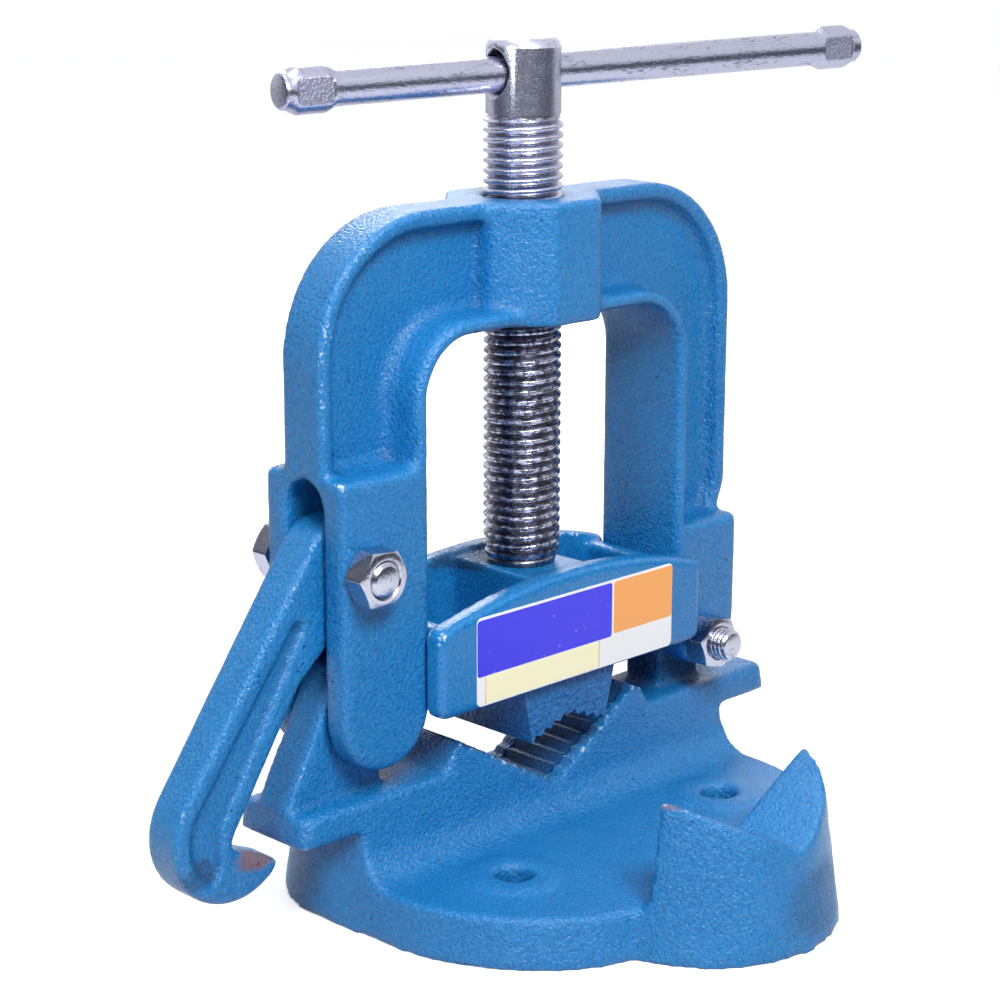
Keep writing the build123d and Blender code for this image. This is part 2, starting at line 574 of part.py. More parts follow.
# Clamp screw: spigot with groove, tapered tip, shank, neck and drilled head
heading = radians(BAR_HEADING)
tilt = radians(BAR_TILT)
bar_way = Vector(cos(heading) * cos(tilt), sin(heading) * cos(tilt), sin(tilt))
hole_z = BAR_Z + (BAR_HOLE_D - BAR_D) / 2 - BAR_SEAT_GAP
hole_plane = Plane((0, 0, hole_z), x_dir=(-sin(heading), cos(heading), 0), z_dir=bar_way)
groove_half = CROSS_PIN_D / 2 + SOLID_FIT
with BuildPart() as clamp_screw:
    with BuildSketch(Plane.XZ) as screw_profile:
        with BuildLine():
            tip_z = JAW_PAD_TOP + JAW_SEAT_GAP
            spigot_end = SPIGOT_BOTTOM + SPIGOT_END_GAP
            Polyline(
                (0, spigot_end), (SPIGOT_D / 2 - SPIGOT_BEVEL, spigot_end),
                (SPIGOT_D / 2, spigot_end + SPIGOT_BEVEL),
                (SPIGOT_D / 2, GROOVE_Z - groove_half), (GROOVE_R, GROOVE_Z - groove_half),
                (GROOVE_R, GROOVE_Z + groove_half), (SPIGOT_D / 2, GROOVE_Z + groove_half),
                (SPIGOT_D / 2, tip_z), (SCREW_TIP_D / 2, tip_z), (SCREW_D / 2, tip_z + SCREW_TIP_LENGTH),
                (SCREW_D / 2, SCREW_HEAD_BOTTOM - SCREW_NECK - SCREW_RUNOUT),
                (SCREW_NECK_D / 2, SCREW_HEAD_BOTTOM - SCREW_NECK),
                (SCREW_NECK_D / 2, SCREW_HEAD_BOTTOM), (SCREW_HEAD_D / 2, SCREW_HEAD_BOTTOM),
                (SCREW_HEAD_D / 2, SCREW_TOP - SCREW_HEAD_BEVEL),
                (SCREW_HEAD_D / 2 - SCREW_HEAD_BEVEL, SCREW_TOP), (0, SCREW_TOP), close=True,
            )
        make_face()
    revolve(axis=Axis.Z)
    with BuildSketch(hole_plane):
        Circle(BAR_HOLE_D / 2)
    extrude(amount=SCREW_D, both=True, mode=Mode.SUBTRACT)
    for mouth in (hole_plane, Plane(hole_plane.origin, x_dir=hole_plane.x_dir, z_dir=-bar_way)):
        with BuildSketch(mouth.offset(SCREW_HEAD_D / 2 - BAR_HOLE_SINK)):
            Circle(BAR_HOLE_D / 2)
        extrude(amount=2 * BAR_HOLE_SINK, taper=-45, mode=Mode.SUBTRACT)

clamp_screw.part.label = "clamp_screw"
export_step(clamp_screw.part, "parts/clamp_screw.step")


# Handle bar, loose in the head, each end pressed flat at its sides and so taller than the hole
bar_plane = Plane((0, 0, BAR_Z), x_dir=(-sin(heading), cos(heading), 0), z_dir=bar_way)
with BuildPart() as handle_bar:
    with BuildSketch(bar_plane.offset(-BAR_LEFT)):
        Circle(BAR_D / 2)
    extrude(amount=BAR_LEFT + BAR_RIGHT)
    chamfer(handle_bar.faces().filter_by(GeomType.PLANE).edges(), BAR_BEVEL)
    for stake_start in (-BAR_LEFT + STAKE_INSET, BAR_RIGHT - STAKE_INSET - STAKE_LENGTH):
        with BuildSketch(bar_plane.offset(stake_start)):
            Ellipse(STAKE_WIDTH / 2, STAKE_HEIGHT / 2)
        extrude(amount=STAKE_LENGTH)
        with BuildSketch(bar_plane.offset(stake_start)):
            with Locations((BAR_D, 0), (-BAR_D, 0)):
                Rectangle(2 * BAR_D - STAKE_WIDTH, 2 * STAKE_HEIGHT)
        extrude(amount=STAKE_LENGTH, mode=Mode.SUBTRACT)
handle_bar.part.label = "handle_bar"
export_step(handle_bar.part, "parts/handle_bar.step")


# Sliding jaw: a cored body between two guide plates that straddle the legs.
# The front half is made, then mirrored.
with BuildPart() as sliding_jaw:
    with BuildSketch(Plane.XZ):
        with Locations((0, (JAW_BOTTOM + JAW_END_TOP) / 2)):
            Rectangle(2 * SLIDE_HALF_WIDTH, JAW_END_TOP - JAW_BOTTOM)
        with Locations((0, (JAW_BOTTOM + JAW_PAD_TOP) / 2)):
            Rectangle(2 * JAW_PAD_HALF_WIDTH, JAW_PAD_TOP - JAW_BOTTOM)
    extrude(amount=PLATE_IN)
    plate_end = (-PLATE_HALF_WIDTH, PLATE_END_TOP)
    other_end = (PLATE_HALF_WIDTH, PLATE_END_TOP)
    with BuildSketch(Plane.XZ.offset(PLATE_IN)) as guide_plate:
        with BuildLine():
            Polyline(
                plate_end, (-PLATE_HALF_WIDTH, JAW_BOTTOM), (PLATE_HALF_WIDTH, JAW_BOTTOM), other_end,
            )
            ThreePointArc(plate_end, (0, PLATE_TOP), other_end)
        make_face()
        fillet(guide_plate.vertices(), PLATE_CORNER_R)
    extrude(amount=PLATE_THICKNESS)
    plate_edges = sliding_jaw.edges().filter_by_position(Axis.Y, -PLATE_OUT - 0.01, -PLATE_OUT + 0.01)
    chamfer(plate_edges, PLATE_BEVEL)

    # Two cored pockets, open at the top
    pocket_end = SLIDE_HALF_WIDTH - JAW_END_WALL
    with BuildSketch(Plane.XY.offset(JAW_BOTTOM + JAW_FLOOR)) as pockets:
        for side in (-1, 1):
            with Locations((side * (JAW_PAD_HALF_WIDTH + pocket_end) / 2, 0)):
                RectangleRounded(pocket_end - JAW_PAD_HALF_WIDTH, 2 * PLATE_IN, POCKET_R)
    extrude(amount=JAW_PAD_TOP, mode=Mode.SUBTRACT)
    mirror(about=Plane.XZ)

    # Bore for the spigot, slot for the upper jaw's tongue, cross holes for the pins
    with BuildSketch(Plane.XY.offset(SPIGOT_BOTTOM)):
        Circle(SPIGOT_D / 2 + RUNNING_FIT)
    extrude(amount=SPIGOT_DEPTH + CUT_REACH, mode=Mode.SUBTRACT)
    with BuildSketch(Plane.XY.offset(JAW_BOTTOM)):
        Rectangle(2 * (TONGUE_HALF_WIDTH + SOLID_FIT), 2 * (TONGUE_HALF_DEPTH + SOLID_FIT))
    extrude(amount=TONGUE_HEIGHT + SOLID_FIT, mode=Mode.SUBTRACT)
    cross_places = {
        "screw_pin_left": across(-SCREW_PIN_X, GROOVE_Z),
        "screw_pin_right": across(SCREW_PIN_X, GROOVE_Z),
        "upper_jaw_pin": across(0, UPPER_PIN_Z),
    }
    with Locations(*cross_places.values()):
        Hole(CROSS_PIN_D / 2 + RUNNING_FIT)

sliding_jaw.part.label = "sliding_jaw"
export_step(sliding_jaw.part, "parts/sliding_jaw.step")


# Cross pins, their ends just below the outer faces of the guide plates
for name, place in cross_places.items():
    with BuildPart() as cross_pin:
        with BuildSketch(place):
            Circle(CROSS_PIN_D / 2)
        extrude(amount=PLATE_OUT - CROSS_PIN_INSET, both=True)
        chamfer(cross_pin.faces().filter_by(GeomType.PLANE).edges(), CROSS_PIN_BEVEL)
    cross_pin.part.label = name
    export_step(cross_pin.part, f"parts/{name}.step")


# Upper jaw: toothed inverted V with a tongue that is pinned in the sliding jaw
with BuildPart() as upper_jaw:
    with BuildSketch(Plane.XZ) as upper_outline:
        with BuildLine():
            upper_tip = (-UPPER_TIP_HALF_WIDTH, UPPER_TIP_Z)
            upper_teeth = tooth_points((0, UPPER_APEX_Z), upper_tip, UPPER_TEETH, TOOTH_DEPTH)
            Polyline(*upper_teeth, (-UPPER_TOP_HALF_WIDTH, JAW_BOTTOM), (0, JAW_BOTTOM))
            mirror(about=Plane.YZ)
        make_face()
    extrude(amount=UPPER_HALF_DEPTH, both=True)
    with BuildSketch(Plane.XY.offset(JAW_BOTTOM)):
        Rectangle(2 * TONGUE_HALF_WIDTH, 2 * TONGUE_HALF_DEPTH)
    extrude(amount=TONGUE_HEIGHT)
    with Locations(cross_places["upper_jaw_pin"]):
        Hole(CROSS_PIN_D / 2 + RUNNING_FIT)

upper_jaw.part.label = "upper_jaw"
export_step(upper_jaw.part, "parts/upper_jaw.step")
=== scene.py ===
"""Looks of a bench pipe vise: enamelled castings, a threaded clamp screw, its bar and fasteners.

Lengths in the classes are millimetres in the vise's own frame: X from the latch side to the
hinge side, Y along the clamped pipe, Z up from the bench, with the clamp screw on the Z axis.
"""

import logging
from dataclasses import dataclass, field
from enum import Enum
from math import cos, pi, radians, sin, tan

import bmesh
import bpy
import numpy as np
from mathutils import Matrix, Vector


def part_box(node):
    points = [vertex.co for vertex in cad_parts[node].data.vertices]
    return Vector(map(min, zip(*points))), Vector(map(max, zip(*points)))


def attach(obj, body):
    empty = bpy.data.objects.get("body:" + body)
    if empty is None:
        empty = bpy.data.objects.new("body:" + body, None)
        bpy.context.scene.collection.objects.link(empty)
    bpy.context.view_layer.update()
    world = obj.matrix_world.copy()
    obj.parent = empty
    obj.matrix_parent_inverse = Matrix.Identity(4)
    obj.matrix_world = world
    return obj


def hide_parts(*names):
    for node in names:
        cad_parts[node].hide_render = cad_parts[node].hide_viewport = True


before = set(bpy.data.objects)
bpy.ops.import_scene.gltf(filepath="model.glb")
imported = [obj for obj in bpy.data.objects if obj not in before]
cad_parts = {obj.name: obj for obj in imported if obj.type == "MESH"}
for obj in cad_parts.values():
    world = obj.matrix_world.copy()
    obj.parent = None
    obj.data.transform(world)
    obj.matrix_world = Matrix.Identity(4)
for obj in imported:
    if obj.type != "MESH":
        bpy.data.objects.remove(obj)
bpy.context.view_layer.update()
log = logging.getLogger("pipe_vise")

MM = 0.001
PER_MM = 1 / MM  # scale of a pattern whose blotches are 1 mm wide
SMOOTH = {"interpolation_type": "SMOOTHSTEP"}
WHITE = (1.0, 1.0, 1.0, 1.0)
Feed = float | list | tuple | bpy.types.NodeSocket  # what an input socket takes


class Slot(Enum):
    """Material slots of the record that fit the new pieces."""

    ENAMEL = "blue_enamel"
    ZINC = "zinc_steel"


class Body(Enum):
    """Bodies that move as one."""

    BASE = "base"
    YOKE = "yoke"
    LATCH = "latch"
    JAW = "jaw"
    SCREW = "screw"
    HANDLE = "handle"


# Colours and nodes


def linear(hex_colour: str) -> tuple[float, float, float, float]:
    """Turn an sRGB hex colour into the linear colour that a shader socket takes.

    Args:
        hex_colour: colour as "#rrggbb".

    Returns:
        Red, green, blue and alpha, all linear.
    """
    shown = np.array([int(hex_colour[start:start + 2], 16) for start in (1, 3, 5)]) / 255
    light = np.where(shown <= 0.04045, shown / 12.92, ((shown + 0.055) / 1.055) ** 2.4)
    return (*light.tolist(), 1.0)


def plug(socket: bpy.types.NodeSocket, value: Feed) -> None:
    """Link an output to an input socket, or set the input's own value.

    Args:
        socket: input socket.
        value: output socket to link, or a plain value.
    """
    if isinstance(value, bpy.types.NodeSocket):
        socket.id_data.links.new(value, socket)
    else:
        socket.default_value = value


def feed(node: bpy.types.Node, **inputs: Feed) -> None:
    """Give a node's inputs their values or links, by input name with _ for a space."""
    for name, value in inputs.items():
        plug(node.inputs[name.replace("_", " ")], value)


def add_node(tree: bpy.types.NodeTree, kind: str, *values: Feed, out: str = "",
             **named: Feed | str) -> bpy.types.NodeSocket:
    """Add a shader node with its settings, values and links.

    Args:
        tree: node tree that gets the node.
        kind: node type, without its "ShaderNode" start.
        values: values or output sockets for the inputs in use, in their order.
        out: name of the output that is wanted, or empty for the first one in use.
        named: settings of the node in lower case, and inputs by name, as feed takes them.

    Returns:
        The output socket.
    """
    node = tree.nodes.new("ShaderNode" + kind)
    for name in filter(str.islower, named):
        setattr(node, name, named[name])
    for socket, value in zip([socket for socket in node.inputs if socket.enabled], values):
        plug(socket, value)
    feed(node, **{name: value for name, value in named.items() if not name.islower()})
    return node.outputs[out] if out else next(socket for socket in node.outputs if socket.enabled)


def weighted(tree: bpy.types.NodeTree, base: float, *terms: tuple[Feed, Feed]) -> bpy.types.NodeSocket:
    """Sum of a plain number and of patterns times their weights.

    Args:
        tree: node tree of the material.
        base: number that the sum starts from.
        terms: pairs of a pattern and its weight, either of which may be a socket.

    Returns:
        Socket with the sum.
    """
    total = base
    for pattern, weight in terms:
        total = add_node(tree, "Math", pattern, weight, total, operation="MULTIPLY_ADD")
    return total


def lay_over(tree: bpy.types.NodeTree, under: Feed, shade: str, share: Feed,
             cover: float) -> bpy.types.NodeSocket:
    """Lay a colour over another one.

    Args:
        tree: node tree of the material.
        under: colour underneath, linear.
        shade: sRGB hex colour on top.
        share: pattern from 0, bare, to 1, covered.
        cover: how much the top colour hides where it covers.

    Returns:
        Socket with the new colour.
    """
    hidden = add_node(tree, "Math", share, cover, operation="MULTIPLY")
    return add_node(tree, "Mix", hidden, under, linear(shade), data_type="RGBA")


def new_material(name: str) -> tuple[bpy.types.Material, bpy.types.NodeTree, bpy.types.Node]:
    """Make a material with its surface shader.

    Args:
        name: name of the material.

    Returns:
        The material, its node tree and its Principled node.
    """
    material = bpy.data.materials.new(name)
    material.use_nodes = True
    tree = material.node_tree
    return material, tree, tree.nodes["Principled BSDF"]


# Finishes


@dataclass(frozen=True)
class Spot:
    """Place where a finish is dirtied or worn through, or where shade is painted: an ellipsoid whose edge is
    broken by grain.
    """

    centre: tuple[float, float, float]
    radii: tuple[float, float, float]
    colour: str
    grain: float = 1.4
    cover: float = 0.8
    reach: float = 0.55

    def lay(self, tree: bpy.types.NodeTree, place: Feed, colour: Feed) -> tuple[Feed, Feed]:
        """Lay the spot over a colour.

        Args:
            tree: node tree of the material.
            place: socket with Object coordinates in metres.
            colour: socket with the colour underneath.

        Returns:
            The new colour and the spot's own share, both sockets.
        """
        offset = add_node(tree, "VectorMath", place, [c * MM for c in self.centre], operation="SUBTRACT")
        scaled = add_node(tree, "VectorMath", offset, [r * MM for r in self.radii], operation="DIVIDE")
        distance = add_node(tree, "VectorMath", scaled, operation="LENGTH")
        inside = add_node(tree, "MapRange", distance, 1.0, 0.35, **SMOOTH)
        grain = add_node(tree, "TexNoise", Vector=place, Scale=PER_MM / self.grain, Detail=3.0)
        broken = add_node(tree, "Math", inside, grain, operation="ADD")
        broken = add_node(tree, "MapRange", broken, 1.55 - self.reach, 1.6, **SMOOTH)
        share = add_node(tree, "Math", broken, self.cover, operation="MULTIPLY")
        return lay_over(tree, colour, self.colour, share, 1.0), share


@dataclass(frozen=True)
class SandCastEnamel:
    """Glossy alkyd enamel brushed over green-sand cast iron.

    The paint flows into an orange-peel skin over the sand grain, so highlights break into
    sparkling dots, and pale specks are laid into the colour as painted highlight.  Edges are
    laid pale, a painted highlight that also stands for paint rubbed thin, with near-white flecks
    of painted highlight along them; hollows are laid dark as painted shade, and small gas pits
    show through as dark dots.  Real sand grain is about 0.3 mm; it is drawn twice as coarse to show.
    """

    name: str = "alkyd_enamel_on_sand_cast_iron"
    colour: str = "#0a70b2"
    # pale tone of brushed patches and peel crests, and of the painted highlight along edges
    thin: str = "#3c96d0"
    # dark tone of the peel's valleys, and the painted shade laid in hollows
    deep_tone_and_shade: str = "#053f74"
    pit: str = "#0d2238"
    # colour of the pale specks, a painted highlight
    glint_highlight: str = "#7ab8e4"
    # colour of near-white flecks along edges, a painted highlight
    highlight_fleck_colour: str = "#cfe2f3"
    roughness: float = 0.2
    peel: float = 1.3
    grit: float = 0.6
    relief: float = 1.1
    ior: float = 1.47
    brush_patch: float = 34.0
    rub: float = 2.6
    sparkle: float = 0.9
    highlight_fleck_size: float = 1.3
    highlight_cluster_size: float = 17.0
    pit_spacing: float = 5.5
    pit_patch: float = 26.0
    spots: tuple[Spot, ...] = ()

    def paint(self, tree: bpy.types.NodeTree, place: Feed, peel: Feed, grit: Feed, hollow_shade: Feed) -> Feed:
        """Colour of the clean enamel: brushed patches, peel, painted shade in hollows, and painted highlight
        on edges and in specks.

        Args:
            tree: node tree of the material.
            place: socket with Object coordinates in metres.
            peel: socket with the orange-peel pattern.
            grit: socket with the sand-grain pattern.
            hollow_shade: socket that is 1 in the casting's hollows.

        Returns:
            Socket with the colour.
        """
        edge = add_node(tree, "Attribute", attribute_name="edge", out="Fac")
        brushed = add_node(tree, "TexNoise", Vector=place, Scale=PER_MM / self.brush_patch, Detail=2.0)
        patches = add_node(tree, "MapRange", brushed, 0.35, 0.65, **SMOOTH)
        colour = lay_over(tree, linear(self.colour), self.thin, patches, 0.12)

        crests = add_node(tree, "MapRange", peel, 0.35, 0.7, **SMOOTH)
        colour = lay_over(tree, colour, self.thin, crests, 0.22)
        both = add_node(tree, "Math", peel, grit, operation="ADD")
        valleys = add_node(tree, "MapRange", both, 0.95, 0.7, **SMOOTH)
        colour = lay_over(tree, colour, self.deep_tone_and_shade, valleys, 0.3)
        # painted shade: the casting's hollows are darkened in the colour
        colour = lay_over(tree, colour, self.deep_tone_and_shade, hollow_shade, 0.75)

        # painted highlight: edges are laid pale, which also stands for paint rubbed thin
        uneven = add_node(tree, "TexNoise", Vector=place, Scale=PER_MM / self.rub, Detail=3.0)
        worn = add_node(tree, "Math", edge, uneven, operation="ADD")
        rubbed = add_node(tree, "MapRange", worn, 0.95, 1.5, **SMOOTH)
        colour = lay_over(tree, colour, self.thin, rubbed, 0.55)

        # painted highlight: small pale specks laid into the colour
        dots = add_node(tree, "TexNoise", Vector=place, Scale=PER_MM / self.sparkle, Detail=1.0)
        painted_glints = add_node(tree, "MapRange", dots, 0.62, 0.7, **SMOOTH)
        colour = lay_over(tree, colour, self.glint_highlight, painted_glints, 0.16)

        # painted highlight: near-white flecks laid along edges
        flecks = add_node(tree, "TexNoise", Vector=place, Scale=PER_MM / self.highlight_fleck_size, Detail=4.0)
        clusters = add_node(tree, "TexNoise", Vector=place, Scale=PER_MM / self.highlight_cluster_size, Detail=1.0)
        edge_highlight_sum = weighted(tree, 0.0, (edge, 0.8), (flecks, 1.0), (clusters, 0.6))
        highlight_flecks = add_node(tree, "MapRange", edge_highlight_sum, 1.24, 1.42, **SMOOTH)
        return lay_over(tree, colour, self.highlight_fleck_colour, highlight_flecks, 0.7)

    def gas_pits(self, tree: bpy.types.NodeTree, place: Feed) -> Feed:
        """Pattern that is 1 in the small pits, which come in patches.

        Args:
            tree: node tree of the material.
            place: socket with Object coordinates in metres.

        Returns:
            Socket with the pattern.
        """
        cells = add_node(tree, "TexVoronoi", Vector=place, Scale=PER_MM / self.pit_spacing, out="Distance")
        holes = add_node(tree, "MapRange", cells, 0.1, 0.05, **SMOOTH)
        gassy = add_node(tree, "TexNoise", Vector=place, Scale=PER_MM / self.pit_patch, Detail=1.0)
        patches = add_node(tree, "MapRange", gassy, 0.5, 0.66, **SMOOTH)
        return add_node(tree, "Math", holes, patches, operation="MULTIPLY")

    def material(self) -> bpy.types.Material:
        """Build the enamel's material, with its dirty places and its spots of painted shade dull.

        Returns:
            The material.
        """
        material, tree, shader = new_material(self.name)
        place = add_node(tree, "TexCoord", out="Object")
        peel = add_node(tree, "TexNoise", Vector=place, Scale=PER_MM / self.peel, Detail=1.0)
        grit = add_node(tree, "TexNoise", Vector=place, Scale=PER_MM / self.grit, Detail=2.0)
        hollow_shade = add_node(tree, "Attribute", attribute_name="hollow_shade", out="Fac")
        pits = self.gas_pits(tree, place)
        colour = lay_over(tree, self.paint(tree, place, peel, grit, hollow_shade), self.pit, pits, 0.8)
        dull = pits
        for spot in self.spots:
            colour, share = spot.lay(tree, place, colour)
            dull = add_node(tree, "Math", dull, share, operation="MAXIMUM")

        height = weighted(tree, 0.0, (peel, 0.62), (grit, 0.38), (pits, -0.9))
        relief = add_node(tree, "Bump", Strength=0.85, Distance=self.relief * MM, Height=height)
        gloss = weighted(tree, self.roughness - 0.06, (grit, 0.12), (dull, 0.35))
        # hollows, dirt and the spots of painted shade lose specular level
        sunken, dirt_and_shade = weighted(tree, 0.0, (hollow_shade, 0.6)), weighted(tree, 0.0, (dull, 1.1))
        covered = add_node(tree, "Math", sunken, dirt_and_shade, operation="MAXIMUM")
        clean = add_node(tree, "Math", weighted(tree, 0.5, (covered, -0.5)), 0.05, operation="MAXIMUM")
        feed(shader, Base_Color=colour, Roughness=gloss, Normal=relief)
        feed(shader, Specular_IOR_Level=clean, IOR=self.ior)
        return material


@dataclass(frozen=True)
class ZincPlate:
    """Bright zinc plate with a blue passivate over drawn or turned steel.

    A lilac-grey metal with a fine crystalline grain that follows the way the steel was worked,
    and dull flecks where the plating is thin.  The attribute "root" marks thread roots, where the
    colour is darkened, and "pressed" the flats that a die has knurled.
    """

    name: str
    colour: str = "#b6b8ce"
    fleck: str = "#4d4f60"
    darker_tone: str = "#272a35"
    roughness: float = 0.24
    grain: float = 0.8
    stretch: tuple[float, float, float] = (1.0, 1.0, 1.0)
    turn: tuple[float, float, float] = (0.0, 0.0, 0.0)
    flecks: float = 0.5
    relief: float = 0.12
    knurl: float = 1.2
    grime: float = 2.4
    darker_below: float | None = None
    darker_band: float = 2.0

    def darken_roots_and_below(self, tree: bpy.types.NodeTree, place: Feed, colour: Feed) -> Feed:
        """Darken the thread's roots and, below the boss's top, lay dark blotches on its crests too.

        Args:
            tree: node tree of the material.
            place: socket with Object coordinates in metres.
            colour: socket with the bare metal's colour.

        Returns:
            Socket with the new colour.
        """
        height = add_node(tree, "SeparateXYZ", place, out="Z")
        upper, lower = (self.darker_below + self.darker_band) * MM, (self.darker_below - self.darker_band) * MM
        low = add_node(tree, "MapRange", height, upper, lower, **SMOOTH)
        root = add_node(tree, "Attribute", attribute_name="root", out="Fac")
        root = add_node(tree, "MapRange", root, 0.3, 1.0, **SMOOTH)
        darkening = add_node(tree, "Math", root, weighted(tree, 0.35, (low, 0.45)), operation="MULTIPLY")
        blotches = add_node(tree, "TexNoise", Vector=place, Scale=PER_MM / self.grime, Detail=4.0)
        blotches = weighted(tree, 0.0, (blotches, 1.0), (low, 0.12))
        dark_blotches = add_node(tree, "MapRange", blotches, 0.52, 0.7, **SMOOTH)
        dark_blotches_below = weighted(tree, 0.0, (dark_blotches, weighted(tree, 0.0, (low, 0.8))))
        darkening = add_node(tree, "Math", darkening, dark_blotches_below, operation="MAXIMUM")
        return lay_over(tree, colour, self.darker_tone, darkening, 1.0)

    def material(self) -> bpy.types.Material:
        """Build the plated metal's material.

        Returns:
            The material.
        """
        material, tree, shader = new_material(self.name)
        place = add_node(tree, "TexCoord", out="Object")
        turn = [radians(angle) for angle in self.turn]
        along = add_node(tree, "Mapping", Vector=place, Rotation=turn, Scale=self.stretch)
        fine = add_node(tree, "TexNoise", Vector=along, Scale=PER_MM / self.grain, Detail=3.0)
        coarse = add_node(tree, "TexNoise", Vector=along, Scale=PER_MM / (self.grain * 6), Detail=3.0)
        pressed = add_node(tree, "Attribute", attribute_name="pressed", out="Fac")

        thin = weighted(tree, 0.0, (fine, 1.0), (coarse, 0.8))
        dulled = add_node(tree, "MapRange", thin, 0.95, 1.2, **SMOOTH)
        colour = lay_over(tree, linear(self.colour), self.fleck, dulled, self.flecks)
        colour = lay_over(tree, colour, self.fleck, pressed, 0.35)
        if self.darker_below is not None:
            # darker in the thread's roots, and blotched darker below the boss's top
            colour = self.darken_roots_and_below(tree, place, colour)
        rough = weighted(tree, self.roughness, (dulled, 0.16), (pressed, 0.3))

        net = add_node(tree, "TexVoronoi", Vector=place, Scale=PER_MM / self.knurl, out="Distance")
        height = weighted(tree, 0.0, (fine, 1.0), (weighted(tree, 0.0, (net, pressed)), 3.0))
        relief = add_node(tree, "Bump", Strength=0.8, Distance=self.relief * MM, Height=height)
        feed(shader, Base_Color=colour, Roughness=rough, Normal=relief, Metallic=1.0)
        return material


@dataclass(frozen=True)
class PrintedVinyl:
    """Screen-printed vinyl sticker: flat ink under a thin gloss, a little scuffed and dusty."""

    name: str
    colour: str
    scuff: str = "#e9e4e2"
    scuff_size: float = 3.0
    ripple: float = 9.0
    relief: float = 0.05
    roughness: float = 0.38

    def material(self) -> bpy.types.Material:
        """Build the ink's material.

        Returns:
            The material.
        """
        material, tree, shader = new_material(self.name)
        place = add_node(tree, "TexCoord", out="Object")
        rubbed = add_node(tree, "TexNoise", Vector=place, Scale=PER_MM / self.scuff_size, Detail=5.0)
        scuffs = add_node(tree, "MapRange", rubbed, 0.66, 0.74, **SMOOTH)
        colour = lay_over(tree, linear(self.colour), self.scuff, scuffs, 0.35)
        ripples = add_node(tree, "TexNoise", Vector=place, Scale=PER_MM / self.ripple, Detail=2.0)
        relief = add_node(tree, "Bump", Strength=0.25, Distance=self.relief * MM, Height=ripples)
        rough = weighted(tree, self.roughness, (scuffs, 0.2))
        feed(shader, Base_Color=colour, Roughness=rough, Normal=relief)
        return material


# Surfaces


def add_object(name: str, data: bpy.types.ID) -> bpy.types.Object:
    """Put a mesh, lamp or camera into the scene as an object at the origin.

    Args:
        name: name of the object.
        data: its mesh, lamp or camera.

    Returns:
        The object.
    """
    added = bpy.data.objects.new(name, data)
    bpy.context.scene.collection.objects.link(added)
    return added


def read_points(mesh: bpy.types.Mesh) -> np.ndarray:
    """Read a mesh's points.

    Args:
        mesh: mesh in metres.

    Returns:
        Rows of x, y and z in millimetres.
    """
    points = np.zeros(len(mesh.vertices) * 3, np.float32)
    mesh.vertices.foreach_get("co", points)
    return points.reshape(-1, 3).astype(float) / MM


def write_points(mesh: bpy.types.Mesh, points: np.ndarray) -> None:
    """Write rows of x, y and z in millimetres into a mesh."""
    mesh.vertices.foreach_set("co", (points * MM).astype(np.float32).ravel())
    mesh.update()


def mark_points(mesh: bpy.types.Mesh, marks: dict[str, np.ndarray]) -> None:
    """Store numbers per point as attributes.

    Args:
        mesh: mesh that gets them.
        marks: arrays of one number per point, by attribute name.
    """
    for name, values in marks.items():
        store = mesh.attributes.new(name, "FLOAT", "POINT").data
        store.foreach_set("value", values.ravel().astype(np.float32))


def grid_mesh(name: str, points: np.ndarray, wrap: bool, marks: dict[str, np.ndarray] | None = None,
              closed: bool = True) -> bpy.types.Mesh:
    """Make a mesh of quads from a grid of points.

    Args:
        name: name of the mesh.
        points: array of rows x columns x 3, in millimetres.
        wrap: True if the last column joins the first.
        marks: numbers per point, stored as attributes under their names.
        closed: True to close open rims with a face.

    Returns:
        The mesh in metres, with coinciding points merged and faces turned outwards.
    """
    rows, columns = points.shape[:2]
    across = np.arange(columns if wrap else columns - 1)
    row, column = np.meshgrid(np.arange(rows - 1), across, indexing="ij")
    here, beside, above = row * columns + column, row * columns + (column + 1) % columns, columns
    corners = [here, beside, beside + above, here + above]
    mesh = bpy.data.meshes.new(name)
    mesh.from_pydata(points.reshape(-1, 3) * MM, [], np.stack(corners, axis=-1).reshape(-1, 4))
    mark_points(mesh, marks or {})
    return tidy_mesh(mesh, cap=closed)


def tidy_mesh(mesh: bpy.types.Mesh, sharp: float = 35.0, cap: bool = True) -> bpy.types.Mesh:
    """Merge doubles, close open rims, turn faces outwards and shade smooth up to an angle.

    Args:
        mesh: mesh to tidy in place.
        sharp: angle in degrees above which an edge stays sharp.
        cap: True to close open rims with a face.

    Returns:
        The same mesh.
    """
    near = 0.002 * MM
    form = bmesh.new()
    form.from_mesh(mesh)
    bmesh.ops.remove_doubles(form, verts=form.verts, dist=near)
    bmesh.ops.dissolve_degenerate(form, edges=form.edges, dist=near)
    if cap:
        rims = [edge for edge in form.edges if edge.is_boundary]
        bmesh.ops.holes_fill(form, edges=rims)
    bmesh.ops.recalc_face_normals(form, faces=form.faces)
    form.to_mesh(mesh)
    form.free()
    mesh.shade_smooth()
    mesh.set_sharp_from_angle(angle=radians(sharp))
    return mesh


def lathe(name: str, profile: list[tuple[float, float]], sides: int = 96) -> bpy.types.Mesh:
    """Turn a profile of (radius, height) points round the Z axis.

    A point is (radius cos a, radius sin a, height) for the angle a round the axis.

    Args:
        name: name of the mesh.
        profile: points from the low end to the high end.
        sides: number of steps round the axis.

    Returns:
        The turned mesh.
    """
    angle = np.arange(sides) * 2 * pi / sides
    radius, height = np.array(profile, float).T[:, :, None]
    points = np.stack([radius * np.cos(angle), radius * np.sin(angle), height + 0 * angle], axis=-1)
    return grid_mesh(name, points, wrap=True)


